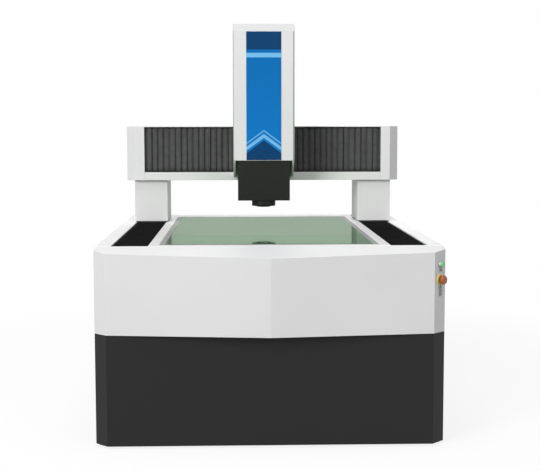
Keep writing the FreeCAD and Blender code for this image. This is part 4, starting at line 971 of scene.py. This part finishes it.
@dataclass
class Setting:
    """Floor, background, camera and soft lamps: a key from the upper left, a weaker fill, and two over and behind."""

    lens: float = 74.62
    eye: Point = (-0.1335, -5.413, 1.3075)
    yaw: float = 0.029
    pitch: float = -0.0929
    roll: float = -0.0013
    floor_size: float = 60.0
    floor_white: float = 0.98
    floor_bounce: float = 0.36
    ambient: float = 0.32
    shadow_share: float = 0.15
    shadow_reach: tuple[float, float] = (1.6, 3.6)
    lit_point: Point = (0.0, 0.1, 0.9)
    lamps: tuple[Lamp, ...] = (
        Lamp("key", (-9.4, -11.4, 7.4), 6.5, 1820.0),
        Lamp("fill", (7.5, -9.0, 3.4), 4.0, 230.0),
        Lamp("above", (-0.4, -1.4, 6.0), 3.0, 105.0),
        Lamp("behind", (0.3, 7.6, 3.8), 3.5, 100.0),
    )

    def build(self) -> None:
        """Sets everything that isn't the object."""
        self.world()
        self.floor()
        for lamp in self.lamps:
            lamp.hang(self.lit_point)
        self.camera()
        bpy.context.scene.view_settings.view_transform = "Standard"

    def world(self) -> None:
        """A white background for the eye and for reflections, and a softer level for the light itself."""
        world = bpy.data.worlds.new("studio")
        bpy.context.scene.world = world
        tree = Tree(world)
        path = tree.add("ShaderNodeLightPath")
        camera, glossy, through = (
            Value(tree, path.outputs[f"Is {ray} Ray"]) for ray in ("Camera", "Glossy", "Transmission"))
        seen = camera.maths("MAXIMUM", glossy).maths("MAXIMUM", through)
        light, white = (
            tree.add("ShaderNodeBackground", None, {"Color": (1.0, 1.0, 1.0), "Strength": level})
            for level in (self.ambient, 1.0))
        tree.end(tree.blend(seen, light, white))

    def floor(self) -> None:
        """A pale floor that keeps a soft shadow near the object and little light for bouncing."""
        made = Form()
        bmesh.ops.create_grid(made.bm, x_segments=1, y_segments=1, size=self.floor_size / 2)
        mesh = bpy.data.meshes.new("floor")
        made.bm.to_mesh(mesh)
        made.bm.free()
        floor = bpy.data.objects.new("floor", mesh)
        bpy.context.scene.collection.objects.link(floor)
        material = bpy.data.materials.new("floor white")
        tree = Tree(material)
        path = tree.add("ShaderNodeLightPath")
        seen = Value(tree, path.outputs["Is Camera Ray"]) + Value(tree, path.outputs["Is Glossy Ray"])
        x, y, _ = tree.split(tree.places())
        away = (x * x + y * y).maths("SQRT").ramp(*self.shadow_reach)
        plain = (1 - self.shadow_share) + away * self.shadow_share
        pale = tree.mix(seen.held(), (self.floor_bounce,) * 3, (self.floor_white,) * 3)
        matte = tree.add("ShaderNodeBsdfDiffuse", None, {"Color": pale})
        glow = tree.add("ShaderNodeEmission", None, {"Color": (1.0, 1.0, 1.0), "Strength": 1.0})
        tree.end(tree.blend(seen.held() * plain, matte, glow))
        mesh.materials.append(material)

    def camera(self) -> None:
        """The camera at the photograph's angle."""
        data = bpy.data.cameras.new("camera")
        data.lens = self.lens
        data.sensor_width = 36.0
        data.clip_start = 0.05
        data.clip_end = 100.0
        eye = bpy.data.objects.new("camera", data)
        forward = Vector((
            math.sin(self.yaw) * math.cos(self.pitch), math.cos(self.yaw) * math.cos(self.pitch),
            math.sin(self.pitch)))
        look = forward.to_track_quat("-Z", "Y").to_matrix().to_4x4()
        spin = Matrix.Rotation(self.roll, 4, "Z")
        eye.matrix_world = Matrix.Translation(Vector(self.eye)) @ look @ spin
        bpy.context.scene.collection.objects.link(eye)
        bpy.context.scene.camera = eye


@dataclass
class WayCovers:
    """The four pleated cloth covers in the slots of the deck."""

    kit: Kit
    folds: int = 60
    front_depth: float = 6.5 * MM
    rear_depth: float = 10.5 * MM
    skin: float = 0.8 * MM
    play: float = 4.0 * MM
    travel: float = 1.0
    columns: tuple[float, ...] = (0.0, 0.035, 0.05, 0.5, 0.95, 0.965, 1.0)
    wave: tuple[float, ...] = (0.0, 0.8, 1.0, 0.8)
    hem_share: float = 0.35

    def build(self) -> None:
        """Builds the covers on both sides."""
        front_low, front_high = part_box("front_way_bellows")
        inner = -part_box("deck_trim")[0].x
        for side, word in ((-1, "left"), (1, "right")):
            spans = sorted(((inner + self.play) * side, front_high.x * side))
            front = self.cover(f"way_cover_front_{word}", "front_way_bellows", spans, self.front_depth)
            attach(front, "base")
            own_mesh(front)
            rear = self.cover(f"way_cover_rear_{word}", "rear_way_bellows", spans, self.rear_depth)
            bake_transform(rear)

    def cover(self, name: str, node: str, sides: Sequence[float], depth: float) -> bpy.types.Object:
        """A strip of cloth in folds across its length, in the place of a CAD node.

        Args:
            name: the piece's name.
            node: the CAD node, which gives its ends and the height of its crests.
            sides: its two sides in X.
            depth: how deep its folds are, but for the shallower hems.

        Returns:
            The object.
        """
        low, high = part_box(node)
        form = Form()
        last = len(self.columns) - 1
        steps = self.folds * len(self.wave)
        bmesh.ops.create_grid(form.bm, x_segments=last, y_segments=steps, size=0.5)
        for vert in form.bm.verts:
            column = round((vert.co.x + 0.5) * last)
            line = round((vert.co.y + 0.5) * steps)
            share = self.hem_share if column in (0, last) else 1.0
            fall = depth * (1 - self.wave[line % len(self.wave)]) * share
            across = sides[0] + (sides[1] - sides[0]) * self.columns[column]
            vert.co = (across, low.y + (high.y - low.y) * line / steps, high.z - fall)
        made = form.unbound(name, self.kit.of("black_bellows"), "black_bellows", [node])
        thicken(made, self.skin, -1.0)
        return made


@dataclass
class BeamCovers:
    """The two pleated covers in the beam's window."""

    kit: Kit
    folds: int = 17
    skin: float = 0.9 * MM
    reach: float = 0.04
    seed: int = 7
    tiers: int = 10
    shift_limit: float = 0.22
    sink_limit: float = 0.22
    lean_limit: float = 0.18
    shape: tuple[float, ...] = (0.62, 0.74, 0.88, 0.97, 1.0, 0.93, 0.97, 0.84)

    def build(self) -> None:
        """Builds the left and right pleated covers, which reach from the bridge to the carriage."""
        for word, side in (("left", -1), ("right", 1)):
            node = f"beam_bellows_{word}"
            low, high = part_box(node)
            outer, inner = (low.x, high.x) if side < 0 else (high.x, low.x)
            form = self.pleated(outer, inner, low, high, random.Random(self.seed + side))
            cover = form.unbound(f"beam_cover_{word}", self.kit.of("grey_bellows"), "grey_bellows", [node])
            thicken(cover, self.skin, 0.0)
            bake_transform(cover)

    def pleated(self, outer: float, inner: float, low: Vector, high: Vector, chance: random.Random) -> Form:
        """Upright folds with uneven crests.

        Args:
            outer: the end on the beam.
            inner: the end on the carriage.
            low: the lowest corner of the window's share.
            high: its highest corner.
            chance: the source of unevenness.

        Returns:
            The form.
        """
        form = Form()
        parts = len(self.shape)
        steps = self.folds * parts
        bmesh.ops.create_grid(form.bm, x_segments=steps, y_segments=self.tiers, size=0.5)
        folds = range(self.folds + 1)
        shift = [chance.uniform(-self.shift_limit, self.shift_limit) for _ in folds]
        sink = [chance.uniform(0.0, self.sink_limit) for _ in folds]
        lean = [chance.uniform(-self.lean_limit, self.lean_limit) for _ in folds]
        near, far = low.y + self.skin, high.y - self.skin
        for vert in form.bm.verts:
            along = round((vert.co.x + 0.5) * steps)
            tier = vert.co.y + 0.5
            fold, part = divmod(along, parts)
            moved = 0.0 if along in (0, steps) else shift[fold]
            tilt = lean[fold] * math.sin(tier * math.pi)
            x = (along + (moved + tilt) * 2 * min(part, parts - part)) / steps
            depth = self.shape[part] * (1 - sink[fold] * (0.4 + 0.6 * tier))
            vert.co = (outer + (inner - outer) * x, far - (far - near) * depth, low.z + (high.z - low.z) * tier)
        bmesh.ops.recalc_face_normals(form.bm, faces=form.bm.faces)
        return form


@dataclass
class ZColumn:
    """Small parts of the housing over the beam: its screws, folded edges, and grey strips of painted shade along the
    front cover's side edges.
    """

    kit: Kit
    screw_inset: float = 18.0 * MM
    rear_screw_half: float = 0.12
    rear_screw_low: float = 1.42
    return_width: float = 10.5 * MM
    return_gap: float = 0.8 * MM
    return_drop: tuple[float, float] = (-2.4 * MM, -0.4 * MM)
    shade_strip_width: float = 7.0 * MM
    shade_strip_stand: float = 0.9 * MM
    shade_strip_bevel: float = 0.4 * MM
    narrow_share: float = 0.3

    def build(self) -> None:
        """Adds the screws of the side and rear walls, the folded edges and the strips of painted shade."""
        low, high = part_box("z_housing")
        screws = Screws()
        for z in row(low.z + 0.14, high.z - 0.05, 5):
            for side in (-1, 1):
                edge = high.x if side > 0 else low.x
                screws.drive((edge, high.y - self.screw_inset, z), (side, 0, 0))
        for x in (-self.rear_screw_half, self.rear_screw_half):
            for z in row(self.rear_screw_low, high.z - 0.03, 3):
                screws.drive((x, high.y, z), (0, 1, 0))
        screws.finish("z_housing_screws", self.kit, "carriage")
        self.returns(low, high)
        self.edge_shade_strips()

    def returns(self, low: Vector, high: Vector) -> None:
        """The folded edges along the slanted feet of the side walls.

        Args:
            low: the housing's lowest corner.
            high: its highest corner.
        """
        cover_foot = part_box("z_front_cover")[0].z
        run = (cover_foot - low.z) * math.sqrt(2.0)
        slope = turned_to((0, 1, -1), (0.0, low.y, cover_foot), (0, -1, -1))
        for word, side in (("left", -1), ("right", 1)):
            wall = high.x * side
            edges = sorted((wall - self.return_width * side, wall - self.return_gap * side))
            lip = Form().block(
                (edges[0], self.return_drop[0], 0.5 * MM), (edges[1], self.return_drop[1], run - 2 * MM), 0.5 * MM,
                slope)
            lip.piece(f"housing_return_{word}", self.kit.of("white_paint"), "carriage", "white_paint")

    def edge_shade_strips(self) -> None:
        """Grey strips of painted shade along the edges between the front cover and the side walls, wider on the right,
        where the edge turns away from the light.
        """
        low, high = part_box("z_front_cover")
        depth = high.y - low.y
        bend = high.z - depth
        run = depth * math.sqrt(2.0)
        slope = turned_to((0, 1, 1), (0.0, low.y, bend), (0, -1, 1))
        strips = Form()
        # grey strips of painted shade along both edges, narrower on the left
        for side, width in ((-1, self.shade_strip_width * self.narrow_share), (1, self.shade_strip_width)):
            edges = sorted(((high.x + self.shade_strip_stand) * side, (high.x - width) * side))
            strips.block(
                (edges[0], low.y - self.shade_strip_stand, low.z), (edges[1], low.y + 1 * MM, bend), self.shade_strip_bevel)
            strips.block(
                (edges[0], -1 * MM, 0.2 * MM), (edges[1], self.shade_strip_stand, run * 0.8), self.shade_strip_bevel, slope)
        strips.piece("housing_edge_shade_strips", self.kit.seam, "carriage", "grey_plastic")


@dataclass
class OpticsHead:
    """The ring light's lamps and band, the front of the lens, and the camera's connector."""

    kit: Kit
    leds: int = 28
    led_radius: float = 2.3 * MM
    led_rows: tuple[float, float] = (-2.6 * MM, 2.8 * MM)
    ring_bore: float = 36.0 * MM
    band_drop: float = 6.0 * MM
    band_stand: float = 0.6 * MM
    lens_edge: float = 4.0 * MM

    def build(self) -> None:
        """Builds the parts that are seen from below and in front."""
        self.ring()
        self.lens()
        self.camera()

    def ring(self) -> None:
        """Lamps in two circles under the ring, and a black band round it."""
        low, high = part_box("ring_light")
        centre = (low + high) / 2
        outer = (high.x - low.x) / 2
        r = self.led_radius
        form = Form()
        for n in range(self.leds):
            for shift in self.led_rows:
                radius = (outer + self.ring_bore) / 2 + shift
                turn = 2 * math.pi * n / self.leds + radius
                at = (centre.x + radius * math.cos(turn), centre.y + radius * math.sin(turn), low.z)
                form.lathe([(r, 0.0), (r * 0.9, r * 0.3), (r * 0.5, r * 0.62), (0.0, r * 0.7)],
                           turned_to((0, 0, -1), at, (0, 1, 0)), 10)
        form.piece("ring_light_lamps", self.kit.led, "head", "diffuser")
        band = Form()
        place = turned_to((0, 0, 1), (centre.x, centre.y, high.z - self.band_drop), (0, 1, 0))
        inside, outside = outer - 0.5 * MM, outer + self.band_stand
        band.lathe([(inside, 0.0), (outside, 0.3 * MM), (outside, 2.7 * MM), (inside, 3.0 * MM)], place, 96)
        band.piece("ring_light_band", self.kit.of("black_anodised"), "head", "black_anodised")

    def lens(self) -> None:
        """The front element in its threaded rim."""
        low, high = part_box("zoom_lens")
        centre = (low + high) / 2
        radius = (high.x - low.x) / 2
        down = turned_to((0, 0, -1), (centre.x, centre.y, low.z), (0, 1, 0))
        opening, outside = radius - self.lens_edge, radius - 0.2 * MM
        rim = Form().lathe([
            (opening, 0.4 * MM), (opening, 1.6 * MM), (radius - self.lens_edge * 0.7, 2.2 * MM),
            (radius - 1.0 * MM, 2.2 * MM), (outside, 1.4 * MM), (outside, 0.0)], down, 96)
        rim.piece("lens_front_ring", self.kit.of("black_anodised"), "head", "black_anodised")
        glass = Form().lathe([
            (opening, 0.2 * MM), (radius * 0.7, 0.9 * MM), (radius * 0.45, 1.4 * MM),
            (radius * 0.2, 1.7 * MM), (0.0, 1.8 * MM)], down, 64)
        glass.piece("lens_front_glass", self.kit.lens, "head")

    def camera(self) -> None:
        """The camera's connector, a thick foot and a thinner socket."""
        low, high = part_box("camera")
        centre = (low + high) / 2
        plug = Form()
        top = turned_to((0, 0, 1), (centre.x, centre.y, high.z), (0, 1, 0))
        for radius, bottom, end in ((7 * MM, 0.0, 9 * MM), (5 * MM, 9 * MM, 14 * MM)):
            plug.rod(radius, bottom, end, top, edge=0.6 * MM)
        plug.piece("camera_connector", self.kit.of("bright_metal"), "head", "bright_metal")


@dataclass
class Controls:
    """Start button, lamp, emergency stop and rocker on the right corner face."""

    kit: Kit
    out: Point = (math.sqrt(0.5), -math.sqrt(0.5), 0.0)
    corner: float = 26.0 * MM
    shank: float = -31.9 * MM
    mark_bury: float = -0.1 * MM
    mark_stand: float = 0.12 * MM
    bar_spot: Point = (7.93 * MM, 4.88 * MM, 0.283)
    ring_spot: Point = (-8.9 * MM, 2.82 * MM, -0.039)

    def build(self) -> None:
        """Builds each control over its CAD nodes."""
        self.start()
        self.lamp()
        self.stop()
        self.rocker()

    def face(self, node: str) -> Matrix:
        """The place on the corner face under a control, with Z looking out of the face."""
        low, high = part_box(node)
        front_low, front_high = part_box("skirt_front")
        at = (front_high.x - self.corner, front_low.y + self.corner, (low.z + high.z) / 2)
        return turned_to(self.out, at)

    def start(self) -> None:
        """A lit green lens in a bright bezel."""
        place = self.face("start_button_bezel")
        r, stand = 14.5 * MM, 10 * MM
        bore, neck = 10.9 * MM, 12.4 * MM
        Form().lathe([
            (bore, self.shank), (neck, self.shank), (neck, 0.0), (r, 0.0), (r, stand * 0.55),
            (r - 0.5 * MM, stand * 0.86), (r - 1.6 * MM, stand), (bore + 0.4 * MM, stand), (bore, stand - 0.5 * MM),
            (bore, self.shank)], place, 72).piece(
                "start_bezel_ring", self.kit.own["start_bezel_ring"], "base", "bright_metal", ["start_button_bezel"])
        cap, top = 10.6 * MM, 19 * MM
        Form().lathe([
            (0.0, -16 * MM), (cap, -16 * MM), (cap, top - 3.0 * MM), (cap - 0.5 * MM, top - 1.5 * MM),
            (cap - 2.0 * MM, top - 0.5 * MM), (cap * 0.45, top - 0.1 * MM), (0.0, top)], place, 64).piece(
                "start_lens", self.kit.of("green_plastic"), "start_button", "green_plastic", ["start_button_cap"])

    def lamp(self) -> None:
        """A small dark indicator with a bevelled frame, a body behind it and a glossy pane."""
        place = self.face("pilot_lamp")
        half, stand = 7 * MM, 5 * MM
        shell, pane_half = half * 0.78, half * 0.55
        form = Form().block((-half, -half, 0.0), (half, half, stand), 1.0 * MM, place)
        form.block((-shell, -shell, -16 * MM), (shell, shell, 0.0), 0.0, place)
        form.piece("lamp_housing", self.kit.lamp_shell, "base", "black_plastic", ["pilot_lamp"])
        pane = Form().block(
            (-pane_half, -pane_half, stand * 0.6), (pane_half, pane_half, stand + 0.5 * MM), 0.4 * MM, place)
        pane.piece("lamp_pane", self.kit.of("black_plastic"), "base", "black_plastic")

    def stop(self) -> None:
        """A red mushroom with three marks on a yellow collar."""
        place = self.face("estop_collar")
        rim, stand = 22.5 * MM, 5 * MM
        bore, neck = 6.3 * MM, 11 * MM
        Form().lathe([
            (bore, self.shank), (neck, self.shank), (neck, 0.0), (rim, 0.0), (rim, stand * 0.4),
            (rim - 0.8 * MM, stand * 0.8), (rim - 3.0 * MM, stand), (15 * MM, stand), (14 * MM, stand - 0.8 * MM),
            (bore, stand - 0.8 * MM), (bore, self.shank)], place, 72).piece(
                "stop_collar_ring", self.kit.of("yellow_plastic"), "base", "yellow_plastic", ["estop_collar"])
        low, high, wide = 13 * MM, 27 * MM, 19.5 * MM
        head = Form().lathe([
            (0.0, low + 0.4 * MM), (6.8 * MM, low + 0.4 * MM), (7.0 * MM, low), (wide * 0.72, low),
            (wide * 0.95, low + 1.2 * MM), (wide, low + 3.5 * MM),
            (wide, low + 5.5 * MM), (wide * 0.965, low + 8.5 * MM), (wide * 0.86, low + 11.4 * MM),
            (wide * 0.66, low + 13.2 * MM), (wide * 0.35, high - 0.15 * MM), (0.0, high)], place, 72)
        head.piece("stop_mushroom", self.kit.of("red_plastic"), "estop_knob", "red_plastic", ["estop_head"])
        marks = Form()
        for n in range(3):
            turn = Matrix.Rotation(2 * math.pi * n / 3, 4, "Z")
            marks.block(
                (7.5 * MM, -1.0 * MM, high - 1.6 * MM), (13.0 * MM, 1.0 * MM, high - 0.55 * MM), 0.0, place @ turn)
        marks.piece("stop_marks", self.kit.mark, "estop_knob")

    def rocker(self) -> None:
        """A bar and a ring on the two halves of the rocker's key, which stands tilted."""
        low, high = self.mark_bury, self.mark_stand
        inner, outer, half = 1.6 * MM, 2.4 * MM, 0.45 * MM
        marks = Form()
        marks.block((-half, -outer, low), (half, outer, high), 0.0, self.on_key(*self.bar_spot))
        ring = [(inner, low), (outer, low), (outer, high), (inner, high), (inner, low)]
        marks.lathe(ring, self.on_key(*self.ring_spot), 32)
        marks.piece("rocker_marks", self.kit.mark, "rocker")

    def on_key(self, up: float, out: float, tilt: float) -> Matrix:
        """A place on the rocker's key.

        Args:
            up: how far above the middle of its frame.
            out: how far out of the corner face.
            tilt: the key's slope there in radians.

        Returns:
            The matrix of that place.
        """
        return self.face("rocker_frame") @ Matrix.Translation((0.0, up, out)) @ Matrix.Rotation(tilt, 4, "X")


@dataclass
class Fasteners:
    """Screws and quarter-turn locks that hold the covers, and the pins of the power inlet."""

    kit: Kit
    inset: float = 30.0 * MM
    seam_inset: float = 18.0 * MM
    lock_inset: float = 50.0 * MM
    rear_half: float = 0.66
    beam_half: float = 0.56
    lock_rows: tuple[float, ...] = (-0.76, -0.02, 0.13, 0.87)
    rear_locks: tuple[float, ...] = (-0.67, 0.0, 0.67)
    pin_depth: float = 18.0 * MM
    pin_spots: tuple[tuple[float, float], ...] = ((-7.0 * MM, -2.0 * MM), (7.0 * MM, -2.0 * MM), (0.0, 3.0 * MM))

    def build(self) -> None:
        """Builds them body by body."""
        self.covers()
        self.stage()
        self.locks()
        self.bridge()
        self.inlet()

    def inlet(self) -> None:
        """The three flat pins in the power inlet."""
        low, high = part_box("power_inlet")
        middle = (low + high) / 2
        pins = Form()
        for x, z in self.pin_spots:
            at = Vector((middle.x + x, high.y - self.pin_depth, middle.z + z))
            foot, tip = Vector((-1.0, -1.0, -2.5)) * MM, Vector((1.0, 14.0, 2.5)) * MM
            pins.block(at + foot, at + tip, 0.3 * MM)
        pins.piece("inlet_pins", self.kit.of("bright_metal"), "base", "bright_metal")

    def covers(self) -> None:
        """Screws of the side and rear covers."""
        low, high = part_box("upper_side_covers")
        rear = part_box("upper_rear_cover")[1].y
        screws = Screws()
        for side in (-1, 1):
            for y in row(*ends(low.y, high.y, 0.06), 6):
                screws.drive((high.x * side, y, low.z + self.seam_inset), (side, 0, 0))
        for x in row(-self.rear_half, self.rear_half, 6):
            for z in (low.z + self.seam_inset, high.z - self.inset):
                screws.drive((x, rear, z), (0, 1, 0))
        screws.finish("cover_screws_base", self.kit, "base")

    def stage(self) -> None:
        """Flat screws along the stage frame, beside the glass."""
        frame_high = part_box("glass_frame")[1]
        pane_low, pane_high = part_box("glass_plate")
        screws = Screws(radius=4.5 * MM, height=1.2 * MM)
        middle = (frame_high.x + pane_high.x) / 2 - 4 * MM
        for y in row(pane_low.y + 0.077, pane_high.y - 0.06, 7):
            for side in (-1, 1):
                screws.drive((middle * side, y, frame_high.z), (0, 0, 1))
        screws.finish("stage_frame_screws", self.kit, "base")

    def locks(self) -> None:
        """Slotted quarter-turn locks in the corners of the side and rear skirts."""
        low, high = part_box("side_skirts")
        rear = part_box("upper_rear_cover")[1].y
        levels = ends(low.z, high.z, self.lock_inset)
        spots = [((high.x * side, y, z), (side, 0, 0)) for side in (-1, 1) for y in self.lock_rows for z in levels]
        spots += [((x, rear, z), (0, 1, 0)) for x in self.rear_locks for z in levels]
        locks = Form()
        for at, direction in spots:
            place = turned_to(direction, at)
            locks.lathe([
                (9.0 * MM, 0.0), (9.0 * MM, 0.8 * MM), (8.2 * MM, 1.5 * MM), (6.2 * MM, 1.5 * MM),
                (6.0 * MM, 0.9 * MM), (0.0, 0.9 * MM)], place, 24)
            locks.block((-4.6 * MM, -0.8 * MM, 0.9 * MM), (4.6 * MM, 0.8 * MM, 1.7 * MM), 0.2 * MM, place)
        locks.piece("skirt_locks", self.kit.of("bright_metal"), "base", "bright_metal")

    def bridge(self) -> None:
        """Screws of the beam's end caps, rear wall and column covers."""
        low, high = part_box("beam_end_caps")
        screws = Screws()
        for side in (-1, 1):
            for y in ends(low.y, high.y, 0.09):
                for z in ends(low.z, high.z, self.inset):
                    screws.drive((high.x * side, y, z), (side, 0, 0))
        for x in row(-self.beam_half, self.beam_half, 5):
            for z in ends(low.z, high.z, self.inset):
                screws.drive((x, high.y, z), (0, 1, 0))
        low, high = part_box("column_covers")
        for side in (-1, 1):
            for z in ends(low.z, high.z, 0.035):
                for y in ends(low.y, high.y, 0.05):
                    screws.drive((high.x * side, y, z), (side, 0, 0))
        screws.finish("cover_screws_bridge", self.kit, "bridge")


def main() -> None:
    """Loads the frame, dresses it, adds the detailed pieces and sets the scene."""
    logging.basicConfig(level=logging.INFO, format="%(message)s")
    bpy.ops.wm.read_factory_settings(use_empty=True)
    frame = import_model()
    kit = Kit()
    Sheetwork(kit, frame).dress()
    for assembly in (WayCovers, BeamCovers, ZColumn, OpticsHead, Controls, Fasteners):
        assembly(kit).build()
        log.info("%s built", assembly.__name__)
    Setting().build()


if __name__ == "__main__":
    main()
